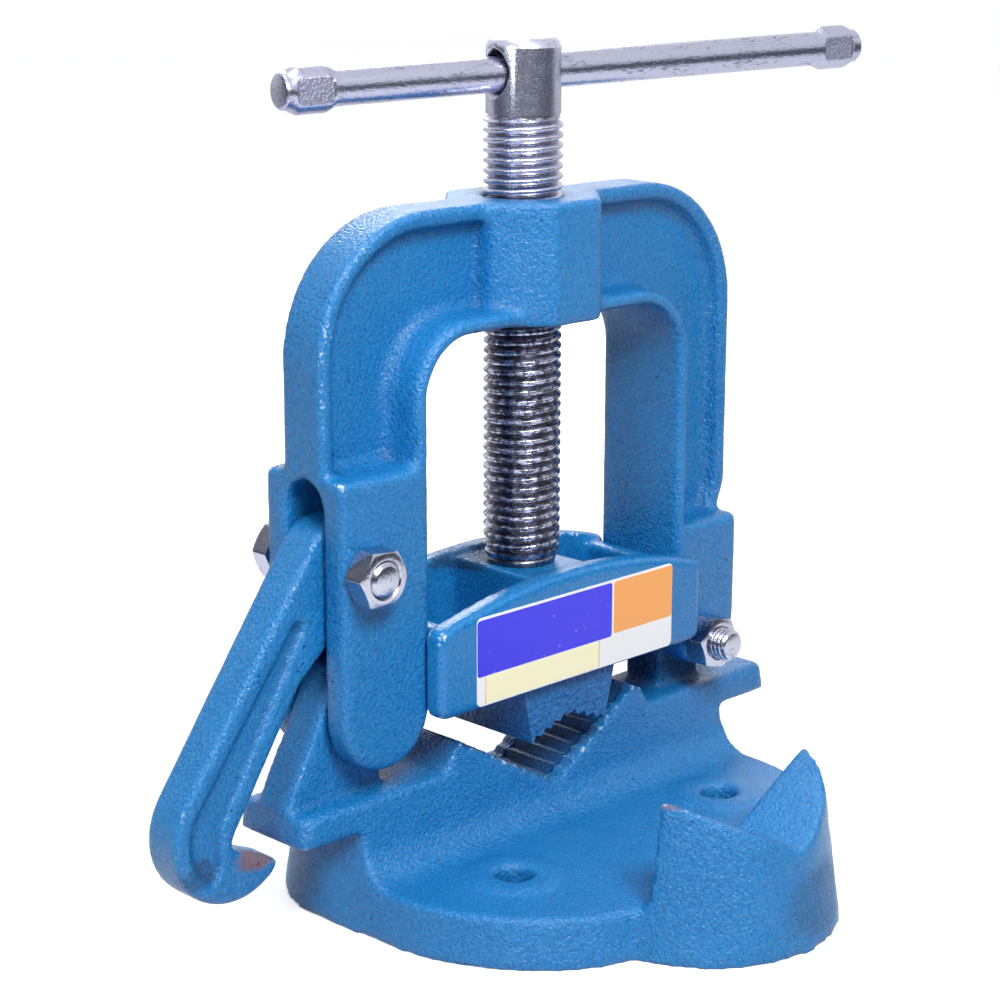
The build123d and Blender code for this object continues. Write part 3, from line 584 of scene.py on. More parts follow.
@dataclass(frozen=True)
class Thread:
    """Right-hand screw thread with rounded crests.

    A row of the grid keeps one phase of the thread's profile and climbs one pitch per turn, so
    crests and roots run along the grid.  The radius is the outer one less depth x profile, and
    never more than the envelope's; rows past an end are flattened onto it.
    """

    radius: float
    depth: float
    pitch: float
    low: float
    high: float
    envelope: tuple[tuple[float, float], ...]
    sides: int = 96
    run_out: float = 0.2
    profile: tuple[tuple[float, float], ...] = (
        (0.0, 1.0), (0.05, 0.96), (0.1, 0.83), (0.19, 0.52), (0.28, 0.22), (0.35, 0.07), (0.42, 0.01),
        (0.5, 0.0), (0.58, 0.01), (0.65, 0.07), (0.72, 0.22), (0.81, 0.52), (0.9, 0.83), (0.95, 0.96),
    )

    def mesh(self, name: str) -> bpy.types.Mesh:
        """Build the threaded surface with its "root" attribute.

        Args:
            name: name of the mesh.

        Returns:
            The surface, closed at both ends.
        """
        turns = np.arange(-2, int((self.high - self.low) / self.pitch) + 3)
        phase, share = np.array(self.profile).T
        start = (turns[:, None] + phase[None, :]).ravel() * self.pitch
        cut = np.tile(share, len(turns))[:, None]
        angle = np.linspace(0, 2 * pi, self.sides + 1)
        height = np.clip(self.low + start[:, None] + self.pitch * angle / (2 * pi), self.low, self.high)
        limit_at, limit = np.array(self.envelope).T
        limit = np.interp(height, limit_at, limit)
        threaded = np.minimum(self.radius - self.depth * cut, limit)
        from_end = np.minimum(height - self.low, self.high - height)
        fade = np.clip(from_end / (self.run_out * self.pitch), 0, 1)
        radius = limit - (limit - threaded) * fade
        points = np.stack([radius * np.cos(angle), radius * np.sin(angle), height], axis=-1)
        root = np.clip((self.radius - radius) / self.depth, 0, 1)
        return grid_mesh(name, points, wrap=False, marks={"root": root})


def hexagon(name: str, flats: float, height: float, bore: float, base_bevel: bool) -> bpy.types.Mesh:
    """Hexagonal nut or bolt head that stands on z = 0.

    The radius at an angle is the p-norm of the distances to the three pairs of sides, which
    rounds the corners a little.  Each end is cut by a 30 degree cone, so the height falls by
    tan 30 of what the radius has beyond the washer face.

    Args:
        name: name of the mesh.
        flats: width across flats.
        height: height of the piece.
        bore: radius of its hole, or 0 for a solid head.
        base_bevel: True if the lower end is cut as well.

    Returns:
        The hexagon's mesh.
    """
    steps, sharpness, washer_share = 180, 70, 0.95
    sink = 0.9 if bore else 0.0
    angle = np.arange(steps) * 2 * pi / steps
    sides = np.radians([0, 60, 120])[:, None]
    edge = (np.abs(np.cos(angle - sides) / (flats / 2)) ** sharpness).sum(axis=0) ** (-1 / sharpness)
    face = np.full_like(angle, flats / 2 * washer_share)
    drop = (edge - face) * tan(radians(30))
    hole, lip, level = np.full_like(angle, bore), np.full_like(angle, bore + sink), np.zeros_like(angle)
    radius = np.stack([hole, lip, face, edge, edge, face, lip, hole, hole])
    rise = np.stack([
        level + sink, level, level, level + drop * base_bevel, height - drop, level + height, level + height,
        level + height - sink, level + sink,
    ])
    points = np.stack([radius * np.cos(angle), radius * np.sin(angle), rise], axis=-1)
    return grid_mesh(name, points, wrap=True)


def sheet_mesh(name: str, low: tuple[float, float], high: tuple[float, float], front: float, thickness: float,
               corner: float) -> bpy.types.Mesh:
    """Thin upright plate with rounded corners, its face towards -Y.

    The outline is a circle of corner radius pushed out to the four corner centres; rings go from
    the middle of the back, round the edge with a small bevel, to the middle of the face.

    Args:
        name: name of the mesh.
        low: lowest x and z.
        high: highest x and z.
        front: y of the face.
        thickness: depth behind the face.
        corner: corner radius.

    Returns:
        The plate's mesh.
    """
    steps = 64
    angle = (np.arange(steps) + 0.5) * 2 * pi / steps
    middle = (np.array(low) + np.array(high)) / 2
    half = (np.array(high) - np.array(low)) / 2
    way = np.stack([np.cos(angle), np.sin(angle)], axis=-1)
    outline = np.sign(way) * (half - corner) + way * corner
    bevel = min(0.05, thickness / 3)
    inner = np.sign(way) * (half - corner) + way * (corner - bevel)
    back = front + thickness
    rings = [
        (outline * 0, back), (outline, back), (outline, front + bevel), (inner, front), (outline * 0, front)
    ]
    points = np.stack([
        np.stack([ring[:, 0] + middle[0], np.full(steps, y), ring[:, 1] + middle[1]], axis=-1)
        for ring, y in rings
    ])
    return grid_mesh(name, points, wrap=True)


def lattice_noise(points: np.ndarray, size: float, seed: int) -> np.ndarray:
    """Smooth random field between -1 and 1.

    Random values stand on a cubic lattice, and inside a cell the eight corner values are
    blended by the smoothstep of the way across the cell in each axis.

    Args:
        points: array of points x 3.
        size: lattice spacing in the same unit.
        seed: seed of the random values.

    Returns:
        One number for each point.
    """
    repeat = 32
    values = np.random.default_rng(seed).uniform(-1, 1, (repeat, repeat, repeat))
    cell = np.floor(points / size).astype(int)
    part = points / size - cell
    part = part * part * (3 - 2 * part)
    total = np.zeros(len(points))
    for corner in np.ndindex(2, 2, 2):
        index = (cell + corner) % repeat
        weight = np.prod(np.where(corner, part, 1 - part), axis=1)
        total += weight * values[index[:, 0], index[:, 1], index[:, 2]]
    return total


def place_piece(mesh: bpy.types.Mesh, name: str, body: Body, slot: Slot, material: bpy.types.Material,
                replaces: tuple[str, ...] = ()) -> bpy.types.Object:
    """Put a finished mesh into the scene as a piece that rides on a body.

    Args:
        mesh: mesh in place, in metres.
        name: name of the piece.
        body: body that carries it.
        slot: material slot of the record; not used.
        material: its finish.
        replaces: CAD nodes that it stands for.

    Returns:
        The new object.
    """
    piece = add_object(name, mesh)
    mesh.materials.clear()
    mesh.materials.append(material)
    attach(piece, body.value)
    if replaces:
        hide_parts(*replaces)
    log.info("%s: %d faces on %s", name, len(mesh.polygons), body.value)
    return piece


def join_meshes(name: str, meshes: list[bpy.types.Mesh]) -> bpy.types.Mesh:
    """Join meshes that already lie in place into one, with their attributes kept.

    Args:
        name: name of the joined mesh.
        meshes: meshes to join, the first of which takes in the others.

    Returns:
        The joined mesh.
    """
    objects = [add_object(mesh.name, mesh) for mesh in meshes]
    with bpy.context.temp_override(active_object=objects[0], selected_editable_objects=objects):
        bpy.ops.object.join()
    joined = objects[0].data
    joined.name = name
    bpy.data.objects.remove(objects[0])
    return joined


def merged_copy(node: str) -> bpy.types.Mesh:
    """Copy a CAD node's mesh and merge its loose triangles.

    Args:
        node: name of the CAD node.

    Returns:
        The merged copy, in metres.
    """
    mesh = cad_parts[node].data.copy()
    form = bmesh.new()
    form.from_mesh(mesh)
    bmesh.ops.remove_doubles(form, verts=form.verts, dist=0.001 * MM)
    form.to_mesh(mesh)
    form.free()
    return mesh


# Castings


@dataclass(frozen=True)
class Crisp:
    """Box in which a casting keeps its detail: the skin there is relaxed by a smaller share."""

    low: tuple[float, float, float]
    high: tuple[float, float, float]
    share: float = 0.15


@dataclass
class Casting:
    """Sand casting whose soft skin is drawn from the sharp form of its CAD node."""

    node: str
    body: Body
    finish: SandCastEnamel
    voxel: float = 1.3
    passes: int = 9
    wave: float = 7.0
    relief: float = 0.10
    grain: float = 0.05
    seed: int = 5
    crisp: tuple[Crisp, ...] = ()

    def skin(self) -> bpy.types.Mesh:
        """Cover the merged CAD form with an even net of quads.

        Returns:
            The remeshed copy, in metres.
        """
        shell = add_object(self.node + "_form", merged_copy(self.node))
        net = shell.modifiers.new("net", "REMESH")
        net.mode = "VOXEL"
        net.voxel_size = self.voxel * MM
        bpy.context.view_layer.update()
        even = bpy.data.meshes.new_from_object(shell.evaluated_get(bpy.context.evaluated_depsgraph_get()))
        bpy.data.objects.remove(shell)
        return even

    def relax(self, mesh: bpy.types.Mesh) -> None:
        """Soften the net, mark its edges and hollows, and give it the sand's relief.

        Each pass moves a point by a share of the way to the mean of its neighbours, and every
        second one moves it back a little less, so the form keeps its size.  Curvature is the
        part of that way along the normal, scaled by the net's spacing.  The relief is two sizes
        of lattice noise along the normal, and the result is held inside the CAD node's box.

        Args:
            mesh: net to change in place.
        """
        forth, back = 0.6, 0.45
        points = read_points(mesh)
        count = len(points)
        ends = np.zeros(len(mesh.edges) * 2, np.int32)
        mesh.edges.foreach_get("vertices", ends)
        first, second = ends.reshape(-1, 2).T
        degree = np.maximum(np.bincount(ends, minlength=count), 1)[:, None]
        hold = np.ones((count, 1))
        for zone in self.crisp:
            hold[np.all((points > zone.low) & (points < zone.high), axis=1)] = zone.share

        def pull(values: np.ndarray) -> np.ndarray:
            """Way from each point's values to the mean of its neighbours' values.

            Args:
                values: one row for each point.

            Returns:
                Array of the same shape.
            """
            summed = np.stack([
                np.bincount(first, column[second], count) + np.bincount(second, column[first], count)
                for column in values.T
            ], axis=1)
            return summed / degree - values

        for turn in range(self.passes):
            points += pull(points) * hold * forth
            if turn > 1:
                points -= pull(points) * hold * back
        write_points(mesh, points)
        normals = np.zeros(count * 3, np.float32)
        mesh.vertex_normals.foreach_get("vector", normals)
        normals = normals.reshape(-1, 3).astype(float)
        bend = -(pull(points) * normals).sum(axis=1, keepdims=True) * 4 / self.voxel**2
        for _ in range(3):
            bend += pull(bend) * forth
        # the edge mark feeds the enamel's painted highlight, the mark of hollows its painted shade
        edge, hollow_shade = np.clip(bend * 2.6 - 0.25, 0, 1), np.clip(-bend * 2.6 - 0.1, 0, 1)
        mark_points(mesh, {"edge": edge, "hollow_shade": hollow_shade})
        lift = lattice_noise(points, self.wave, self.seed) * self.relief
        lift += lattice_noise(points, self.wave * 0.31, self.seed + 1) * self.grain
        points += normals * lift[:, None] * hold
        low, high = (np.array(corner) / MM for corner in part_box(self.node))
        mesh.shade_smooth()
        write_points(mesh, np.clip(points, low, high))

    def build(self) -> bpy.types.Object:
        """Make the casting's piece in place of its node.

        Returns:
            The piece.
        """
        mesh = self.skin()
        self.relax(mesh)
        finish = self.finish.material()
        return place_piece(mesh, self.node + "_casting", self.body, Slot.ENAMEL, finish, (self.node,))


# Screw, bar and fasteners


@dataclass
class ClampScrew:
    """Clamp screw: a threaded shank with a tapered tip, a hidden spigot and a drilled head."""

    diameter: float = 28.6
    pitch: float = 3.6286
    depth: float = 1.8
    tip_low: float = 112.8
    tip_high: float = 119.0
    tip_radius: float = 12.5
    neck_low: float = 276.6
    neck_radius: float = 13.0
    neck_slope: float = 0.8
    head_low: float = 277.8
    head_top: float = 304.3
    head_radius: float = 13.5
    head_bevel: tuple[float, float] = (2.5, 3.2)
    overlap: tuple[float, float] = (0.4, 0.2)
    boss_top: float = 249.0

    def shank(self) -> bpy.types.Mesh:
        """Thread from the tip to the neck under the head.

        Returns:
            The shank's mesh.
        """
        top = self.head_low + self.overlap[1]
        radius = self.diameter / 2
        limits = (
            (self.tip_low, self.tip_radius), (self.tip_high, radius),
            (self.neck_low - self.neck_slope, radius), (self.neck_low, self.neck_radius),
            (top, self.neck_radius),
        )
        return Thread(radius, self.depth, self.pitch, self.tip_low, top, limits).mesh("screw_shank")

    def spigot(self) -> bpy.types.Mesh:
        """Plain end inside the jaw, copied from the CAD form below the tip."""
        return self.slice_of("screw_spigot", self.tip_low + self.overlap[0], above=False)

    def head(self) -> bpy.types.Mesh:
        """Drilled head, copied from the CAD form above the neck, its top bevel widened.

        The rings of the bevel keep their bearing: the lower one moves down the side and the
        upper one moves inwards.

        Returns:
            The head's mesh.
        """
        near, (inwards, down) = 0.1, self.head_bevel
        mesh = self.slice_of("screw_head", self.head_low, above=True)
        points = read_points(mesh)
        reach = np.hypot(points[:, 0], points[:, 1])
        side = (reach > self.head_radius - near) & (points[:, 2] > self.head_top - down)
        points[side, 2] = self.head_top - down
        rim = (reach > 1) & (points[:, 2] > self.head_top - near)
        points[rim, :2] *= ((self.head_radius - inwards) / reach[rim])[:, None]
        write_points(mesh, points)
        return mesh

    def slice_of(self, name: str, level: float, above: bool) -> bpy.types.Mesh:
        """Part of the CAD form on one side of a level.

        Args:
            name: name of the mesh.
            level: height of the cut.
            above: True to keep what is above it.

        Returns:
            The closed slice.
        """
        mesh = merged_copy("clamp_screw")
        form = bmesh.new()
        form.from_mesh(mesh)
        bmesh.ops.bisect_plane(
            form, geom=[*form.verts, *form.edges, *form.faces], plane_co=(0, 0, level * MM),
            plane_no=(0, 0, 1), clear_inner=above, clear_outer=not above,
        )
        bmesh.ops.dissolve_limit(form, angle_limit=radians(0.5), verts=form.verts, edges=form.edges)
        form.to_mesh(mesh)
        form.free()
        mesh.name = name
        return tidy_mesh(mesh, sharp=32.0)

    def build(self) -> bpy.types.Object:
        """Make the screw's piece in place of its node.

        Returns:
            The piece.
        """
        finish = ZincPlate(
            "zinc_plate_on_turned_thread", colour="#c6c8dc", roughness=0.26, grain=0.6,
            darker_below=self.boss_top,
        ).material()
        mesh = join_meshes("clamp_screw_threaded", [self.shank(), self.head(), self.spigot()])
        return place_piece(mesh, "clamp_screw_threaded", Body.SCREW, Slot.ZINC, finish, ("clamp_screw",))


@dataclass
class HandleBar:
    """Round bar through the head, each end pressed flat on two sides so that it bulges up and down."""

    radius: float = 6.35
    left: float = 99.3
    right: float = 156.3
    height: float = 292.1
    heading: float = -10.7
    tilt: float = 1.6
    bevel: float = 1.2
    stake_inset: float = 4.0
    stake_length: float = 15.0
    stake_half_height: float = 8.2
    stake_half_width: float = 5.3
    fine_step: float = 0.4
    coarse_step: float = 4.0
    sides: int = 72

    def stations(self) -> np.ndarray:
        """Distances along the bar of its sections, close together at the staked ends.

        Returns:
            The distances in rising order.
        """
        staked = self.stake_inset + self.stake_length
        ends = np.array([0, 0.15, 0.45, 0.8, 1.2])
        near = np.arange(0, staked + 4, self.fine_step)
        near = np.concatenate([ends, near[near > 1.3]])
        middle = np.arange(-self.left + staked + 5, self.right - staked - 5, self.coarse_step)
        return np.unique(np.concatenate([-self.left + near, middle, self.right - near]))

    def build(self) -> bpy.types.Object:
        """Make the bar's piece in place of its node.

        At a distance s along the bar the section is a circle whose height grows to the staked
        height by a smooth window, and whose width is clipped at the staked width.

        Returns:
            The piece.
        """
        steps = self.stations()
        from_end = np.minimum(steps + self.left, self.right - steps)
        into = np.minimum(from_end - self.stake_inset, self.stake_inset + self.stake_length - from_end)
        bulge = np.clip((into + 2.5) / 5, 0, 1)
        bulge = bulge * bulge * (3 - 2 * bulge)
        flat = np.clip(into / 0.9, 0, 1)
        inset = np.clip(self.bevel - from_end, 0, None)
        radius = self.radius - self.bevel + np.sqrt(np.clip(self.bevel**2 - inset**2, 0, None))
        angle = np.arange(self.sides) * 2 * pi / self.sides
        tall = (radius + (self.stake_half_height - self.radius) * bulge)[:, None]
        clip_at = (radius - (self.radius - self.stake_half_width) * flat)[:, None]
        aside = np.clip(radius[:, None] * np.cos(angle), -clip_at, clip_at)
        pressed = (np.abs(aside) > clip_at - 0.02) * (flat[:, None] > 0.9)
        points = np.stack([aside, tall * np.sin(angle), steps[:, None] + 0 * angle], axis=-1)
        closed = np.concatenate([points[:1] * (0, 0, 1), points, points[-1:] * (0, 0, 1)])
        pressed = np.concatenate([pressed[:1] * 0, pressed, pressed[-1:] * 0])
        mesh = grid_mesh("bar", closed, wrap=True, marks={"pressed": pressed})
        heading, tilt = radians(self.heading), radians(self.tilt)
        way = Vector((cos(heading) * cos(tilt), sin(heading) * cos(tilt), sin(tilt)))
        side = Vector((-sin(heading), cos(heading), 0))
        turned = Matrix((side, way.cross(side), way)).transposed().to_4x4()
        mesh.transform(Matrix.Translation((0, 0, self.height * MM)) @ turned)
        finish = ZincPlate(
            "zinc_plate_on_drawn_bar", roughness=0.27, grain=0.7, stretch=(0.25, 1.0, 1.0),
            turn=(0, 0, -self.heading), flecks=0.6,
        ).material()
        return place_piece(mesh, "handle_bar_staked", Body.HANDLE, Slot.ZINC, finish, ("handle_bar",))


@dataclass
class YokeBolt:
    """Hexagon bolt and nut across the yoke, the nut on the front face with the thread's end proud."""

    name: str
    x: float
    z: float
    hex_turn: float
    proud: float
    half_depth: float = 20.5
    flats: float = 19.0
    nut_height: float = 9.5
    head_height: float = 8.0
    diameter: float = 12.7
    pitch: float = 1.954
    thread_depth: float = 1.0
    thread_inside: float = 8.0
    sides: int = 64

    def upright(self, mesh: bpy.types.Mesh, start: float, turn: float) -> bpy.types.Mesh:
        """Lay a mesh that was built along +Z onto the bolt's axis.

        Args:
            mesh: mesh to move in place.
            start: distance of its z = 0 from the yoke's middle plane, towards the front.
            turn: turn about the bolt's axis in degrees.

        Returns:
            The same mesh.
        """
        lay = Matrix(((1, 0, 0, 0), (0, 0, -1, 0), (0, 1, 0, 0), (0, 0, 0, 1)))
        spin = Matrix.Rotation(radians(turn), 4, "Z")
        mesh.transform(Matrix.Translation((self.x * MM, -start * MM, self.z * MM)) @ lay @ spin)
        return mesh

    def build(self, finish: bpy.types.Material) -> None:
        """Make the bolt's and the nut's pieces in place of their nodes.

        Args:
            finish: material of both.
        """
        radius, turn = self.diameter / 2, self.hex_turn + 30
        nut = hexagon(self.name + "_nut_hex", self.flats, self.nut_height, radius - 0.2, True)
        self.upright(nut, self.half_depth, turn)
        place_piece(nut, self.name + "_nut_bevelled", Body.YOKE, Slot.ZINC, finish, (self.name + "_nut",))

        start = self.half_depth - self.thread_inside
        length = self.half_depth + self.nut_height + self.proud - start
        limits = ((0, radius), (length - 1.3, radius), (length - 0.15, radius - 1.15), (length, radius - 1.5))
        thread = Thread(radius, self.thread_depth, self.pitch, 0.0, length, limits, self.sides)
        plain = start + self.half_depth + 0.2
        shank = lathe(self.name + "_shank", [(0, 0), (radius, 0), (radius, plain), (0, plain)], self.sides)
        head = hexagon(self.name + "_head", self.flats, self.head_height, 0, False)
        head.transform(Matrix.Rotation(pi, 4, "X"))
        mesh = join_meshes(self.name + "_bolt_threaded", [
            self.upright(thread.mesh(self.name + "_thread"), start, 0.0),
            self.upright(shank, -self.half_depth, 0.0), self.upright(head, -self.half_depth, turn),
        ])
        place_piece(mesh, self.name + "_bolt_threaded", Body.YOKE, Slot.ZINC, finish, (self.name + "_bolt",))


@dataclass
class JawSticker:
    """Sticker on the front guide plate: a white ground with three bare fields of colour and two rules."""

    left: float = -52.6
    right: float = 51.6
    bottom: float = 74.2
    top: float = 107.0
    corner: float = 2.2
    field_corner: float = 1.2
    rule_corner: float = 0.15
    ground_face: float = -30.15
    thickness: float = 0.3
    print_step: float = 0.04
    print_sunk: float = 0.02
    fields: dict[str, tuple[float, float, float, float, str]] = field(default_factory=lambda: {
        "violet": (-52.5, 85.2, 17.6, 106.1, "#4038e4"),
        "orange": (18.6, 86.0, 51.5, 106.1, "#fcab5e"),
        "cream": (-48.2, 74.8, 10.6, 84.9, "#fff6ca"),
        "rule_left": (-48.6, 74.8, -48.2, 84.9, "#f0a05a"),
        "rule_right": (10.6, 74.8, 11.0, 84.9, "#f0a05a"),
    })

    def build(self) -> None:
        """Make the ground and the printed fields, all riding on the jaw."""
        low, high = (self.left, self.bottom), (self.right, self.top)
        ground = sheet_mesh("sticker_ground", low, high, self.ground_face, self.thickness, self.corner)
        white = PrintedVinyl("white_vinyl", "#f4f2f0").material()
        place_piece(ground, "sticker_ground", Body.JAW, Slot.ENAMEL, white)
        face, depth = self.ground_face - self.print_step, self.print_step + self.print_sunk
        for name, (x0, z0, x1, z1, colour) in self.fields.items():
            corner = self.rule_corner if name.startswith("rule") else self.field_corner
            mesh = sheet_mesh("sticker_" + name, (x0, z0), (x1, z1), face, depth, corner)
            ink = PrintedVinyl("ink_" + name, colour).material()
            place_piece(mesh, "sticker_" + name, Body.JAW, Slot.ENAMEL, ink)


# Studio


@dataclass(frozen=True)
class Lamp:
    """Soft rectangular lamp that looks at a point of the vise."""

    name: str
    place: tuple[float, float, float]
    width: float
    height: float
    power: float
    aim: tuple[float, float, float] = (0.0, 0.0, 130.0)

    def build(self) -> None:
        """Hang the lamp."""
        light = bpy.data.lights.new(self.name, "AREA")
        light.shape = "RECTANGLE"
        light.size = self.width * MM
        light.size_y = self.height * MM
        light.energy = self.power
        lamp = add_object(self.name, light)
        lamp.location = Vector(self.place) * MM
        lamp.rotation_euler = (Vector(self.aim) - Vector(self.place)).to_track_quat("-Z", "Y").to_euler()


@dataclass(frozen=True)
class DarkWall:
    """Curved dark screen round the vise that only its reflections show, as is usual for bright metal."""

    name: str
    start: float
    end: float
    high: float = 430.0
    low: float = 1.0
    radius: float = 780.0
    shade: str = "#4c505c"
    steps: int = 25

    def build(self) -> None:
        """Stand the screen on the floor: points (r cos a, r sin a, z) from one bearing to the other."""
        angle = np.radians(np.linspace(self.start, self.end, self.steps))
        rise = np.array([[self.low], [self.high]])
        across, along = self.radius * np.cos(angle) + 0 * rise, self.radius * np.sin(angle) + 0 * rise
        points = np.stack([across, along, rise + 0 * angle], axis=-1)
        mesh = grid_mesh(self.name, points, wrap=False, closed=False)
        material, _, shader = new_material(self.name + "_felt")
        feed(shader, Base_Color=linear(self.shade), Roughness=0.9)
        mesh.materials.append(material)
        screen = add_object(self.name, mesh)
        screen.visible_camera = False
        screen.visible_diffuse = False
        screen.visible_shadow = False
        screen.visible_transmission = False


@dataclass
class Studio:
    """Pale floor, white surround, soft lamps and dark cards."""

    floor_half_width: float = 4000.0
    floor_tone: str = "#e9ebee"
    floor_bounce: str = "#a9adb3"
    glow: tuple[float, float] = (0.5, 0.4)
    glow_reach: tuple[float, float] = (250.0, 1300.0)
    mirror_loss: float = 0.7
    ambient: float = 0.1
    lamps: tuple[Lamp, ...] = (
        Lamp("key_lamp", (-420, -950, 1150), 520, 520, 23.0),
        Lamp("left_lamp", (-1300, -250, 800), 380, 380, 6.0),
        Lamp("over_lamp", (-100, 100, 1500), 400, 400, 6.0),
        Lamp("back_lamp", (700, 900, 900), 500, 500, 6.0),
    )
    walls: tuple[DarkWall, ...] = (
        DarkWall("screen_behind_camera", 166, 330),
        DarkWall("screen_left", 122, 166, high=700),
    )

    def build_floor(self) -> None:
        """Lay the floor: pale, lifted to white for the camera and, less, for reflections."""
        reach = self.floor_half_width * MM
        mesh = bpy.data.meshes.new("floor")
        mesh.from_pydata([(-reach, -reach, 0), (reach, -reach, 0), (reach, reach, 0), (-reach, reach, 0)], [],
                         [(0, 1, 2, 3)])
        material, tree, shader = new_material("studio_floor")
        seen = self.seen_directly(tree)
        dark, pale = linear(self.floor_bounce), linear(self.floor_tone)
        tone = add_node(tree, "Mix", seen, dark, pale, data_type="RGBA")
        feed(shader, Base_Color=tone, Roughness=0.85, Specular_IOR_Level=0.0)
        place = add_node(tree, "TexCoord", out="Object")
        away = add_node(tree, "VectorMath", place, operation="LENGTH")
        far = add_node(tree, "MapRange", away, *(edge * MM for edge in self.glow_reach), **SMOOTH)
        mirrored = add_node(tree, "LightPath", out="Is Glossy Ray")
        lift = weighted(tree, self.glow[0], (far, self.glow[1]))
        lift = weighted(tree, 0.0, (lift, weighted(tree, 1.0, (mirrored, -self.mirror_loss))))
        glow = add_node(tree, "Emission", WHITE, weighted(tree, 0.0, (seen, lift)))
        total = add_node(tree, "AddShader", shader.outputs[0], glow)
        feed(tree.nodes["Material Output"], Surface=total)
        mesh.materials.append(material)
        add_object("floor", mesh)

    def seen_directly(self, tree: bpy.types.NodeTree) -> bpy.types.NodeSocket:
        """Number that is 1 for camera, glossy and transmission rays, and 0 for light on the vise.

        Args:
            tree: node tree of the floor or the world.

        Returns:
            Socket with the number.
        """
        seen = add_node(tree, "LightPath", out="Is Camera Ray")
        for ray in ("Is Glossy Ray", "Is Transmission Ray"):
            seen = add_node(tree, "Math", seen, add_node(tree, "LightPath", out=ray), operation="MAXIMUM")
        return seen

    def build_surround(self) -> None:
        """Make the world: white where it is seen, and a plain level where it lights."""
        world = bpy.data.worlds.new("white_surround")
        world.use_nodes = True
        tree = world.node_tree
        strength = weighted(tree, self.ambient, (self.seen_directly(tree), 1.0 - self.ambient))
        feed(tree.nodes["Background"], Color=WHITE, Strength=strength)
        bpy.context.scene.world = world

    def build(self) -> None:
        """Set up the whole studio."""
        self.build_floor()
        self.build_surround()
        for item in (*self.lamps, *self.walls):
            item.build()


@dataclass(frozen=True)
class ViewPoint:
    """Camera at the photograph's place, found by fitting the vise's known edges."""

    place: tuple[float, float, float] = (-605.1, -593.4, 352.0)
    target: tuple[float, float, float] = (-5.66, 5.66, 135.3)
    roll: float = 0.13
    focal_pixels: float = 2355.0
    image_pixels: float = 1000.0
    sensor: float = 36.0

    def build(self) -> None:
        """Create the camera and make it the scene's own."""
        data = bpy.data.cameras.new("camera")
        data.sensor_width = self.sensor
        data.lens = self.focal_pixels / self.image_pixels * self.sensor
        data.clip_start, data.clip_end = 0.01, 50.0
        camera = add_object("camera", data)
        camera.location = Vector(self.place) * MM
        look = (Vector(self.target) - Vector(self.place)).to_track_quat("-Z", "Y")
        roll = Matrix.Rotation(radians(self.roll), 3, "Z").to_quaternion()
        camera.rotation_euler = (look @ roll).to_euler()
        bpy.context.scene.camera = camera


# The vise


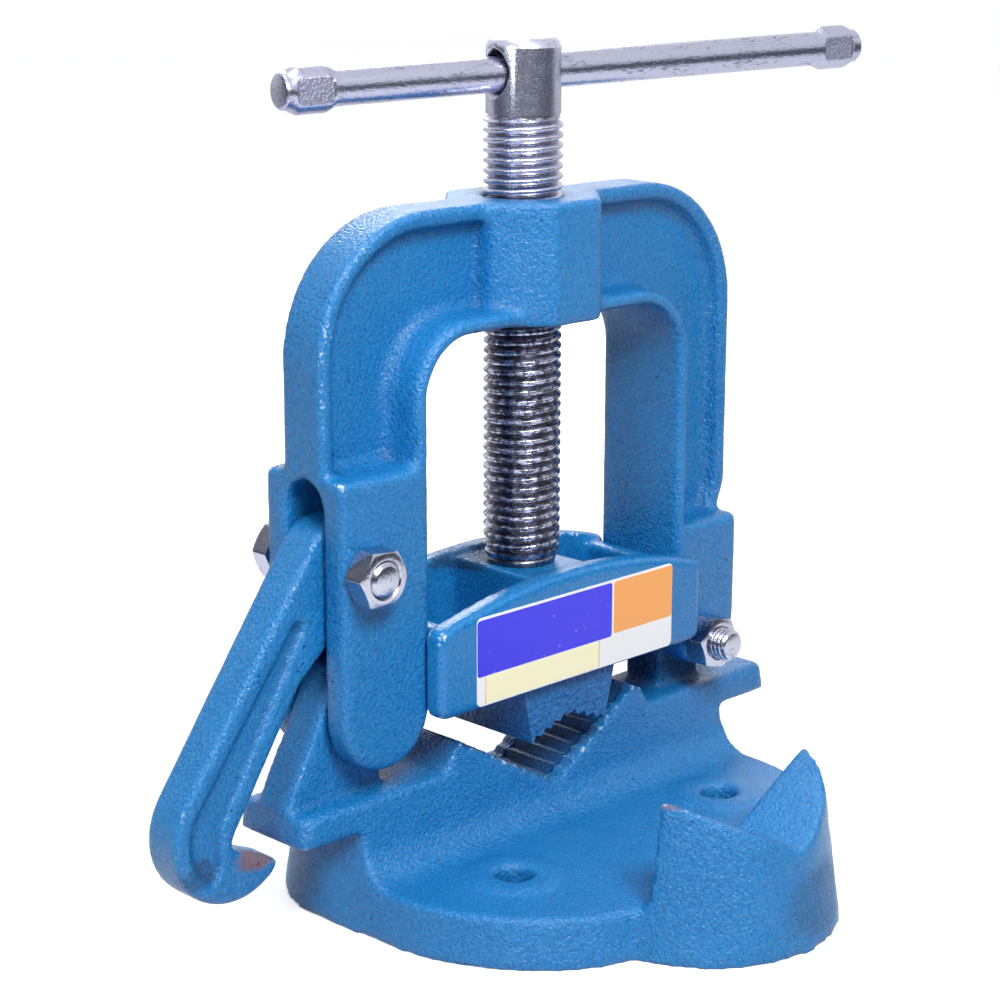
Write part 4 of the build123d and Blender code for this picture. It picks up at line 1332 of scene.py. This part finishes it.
@dataclass
class PipeVise:
    """The vise's pieces in their order of assembly."""

    rust: str = "#86635a"
    bare_iron: str = "#5a6a9a"
    grime: str = "#3b4a5e"
    boss_oil: str = "#44586e"
    jaw_oil: str = "#2a3648"
    # colour of the painted shade in slots, pockets and on shelves
    shade: str = "#0a2440"

    def castings(self) -> list[Casting]:
        """Set out the four large castings, each with its own worn and dirty places and spots of painted
        shade.

        Returns:
            The castings, not built yet.
        """
        base = SandCastEnamel(name="enamel_base", roughness=0.26, relief=1.3, spots=(
            Spot((-38.0, -106.0, 56.0), (9.0, 22.0, 4.0), self.rust, cover=0.6),
            Spot((14.0, -140.0, 16.0), (46.0, 30.0, 26.0), self.grime, 0.9, 0.45, 0.35),
            Spot((-122.0, 0.0, 30.0), (14.0, 22.0, 22.0), self.bare_iron, 1.1, 0.45, 0.45),
            # painted shade on the shelves by the hinge and the latch
            Spot((90.0, 4.0, 56.0), (50.0, 30.0, 18.0), self.shade, 1.2, 0.8, 0.85),
            Spot((-72.0, 6.0, 56.0), (34.0, 22.0, 16.0), self.shade, 1.2, 0.75, 0.7),
        ))
        yoke = SandCastEnamel(name="enamel_yoke", spots=(
            Spot((0.0, 0.0, 250.0), (34.0, 34.0, 5.0), self.boss_oil, 1.1, 0.75, 0.6),
            # painted shade inside the latch slot and round the hinge
            Spot((-88.0, 0.0, 140.0), (20.0, 9.6, 34.0), self.shade, 1.2, 0.85, 0.75),
            Spot((84.0, 0.0, 78.0), (24.0, 9.6, 24.0), self.shade, 1.2, 0.8, 0.7),
        ))
        jaw = SandCastEnamel(name="enamel_sliding_jaw", roughness=0.18, relief=0.4, spots=(
            # painted shade in the sliding jaw's two pockets
            Spot((-36.5, 0.0, 84.0), (24.0, 24.0, 22.0), self.shade, 1.2, 0.8, 0.8),
            Spot((36.5, 0.0, 84.0), (24.0, 24.0, 22.0), self.shade, 1.2, 0.8, 0.8),
            Spot((-12.0, 16.0, 112.0), (34.0, 24.0, 7.0), self.jaw_oil, 1.2, 0.8, 0.5),
        ))
        hook = SandCastEnamel(name="enamel_hook", spots=(
            Spot((-135.0, -8.0, 36.0), (16.0, 12.0, 8.0), self.rust, 1.0, 0.85, 0.75),
            Spot((-160.0, -6.0, 36.0), (14.0, 10.0, 10.0), self.grime, 1.0, 0.6, 0.4),
        ))
        teeth = Crisp((-52, -19, 26), (52, 19, 60), 0.2)
        return [
            Casting("base", Body.BASE, base, 1.35, 8, relief=0.16, grain=0.08, seed=11, crisp=(teeth,)),
            Casting("yoke", Body.YOKE, yoke, 1.35, 10, seed=23),
            Casting("sliding_jaw", Body.JAW, jaw, 1.1, 8, relief=0.05, grain=0.02, seed=31),
            Casting("hook_latch", Body.LATCH, hook, 0.9, 12, relief=0.09, seed=47),
        ]

    def dress_steel(self) -> None:
        """Give the pieces that keep their CAD form their finishes."""
        painted = SandCastEnamel(
            name="enamel_on_jaw_steel", colour="#1666a8", roughness=0.3, relief=2.2, peel=2.0
        )
        # painted shade: the lower teeth take a darker copy of the enamel
        dark = SandCastEnamel(name="enamel_darkened_as_shade_on_lower_teeth", colour="#0f4478", roughness=0.42, relief=0.6)
        dressed = {
            painted: ("upper_jaw", "screw_pin_left", "screw_pin_right", "upper_jaw_pin"),
            dark: ("lower_jaw",),
            ZincPlate("zinc_plate_on_socket_screws"): ("lower_jaw_screw_left", "lower_jaw_screw_right"),
        }
        for finish, nodes in dressed.items():
            material = finish.material()
            for node in nodes:
                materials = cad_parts[node].data.materials
                materials.clear()
                materials.append(material)

    def build(self) -> None:
        """Make and dress every piece."""
        for casting in self.castings():
            casting.build()
        self.dress_steel()
        ClampScrew().build()
        HandleBar().build()
        plated = ZincPlate("zinc_plate_on_fasteners", colour="#bcbecd", roughness=0.2, relief=0.06).material()
        YokeBolt("hinge", 81.5, 68.1, -11.7, 6.5).build(plated)
        YokeBolt("latch", -95.3, 129.9, -5.0, 1.0).build(plated)
        JawSticker().build()


def main() -> None:
    """Set the view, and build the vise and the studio."""
    logging.basicConfig(level=logging.INFO, format="%(message)s")
    bpy.context.scene.view_settings.view_transform = "Standard"
    ViewPoint().build()
    PipeVise().build()
    Studio().build()


if __name__ == "__main__":
    main()
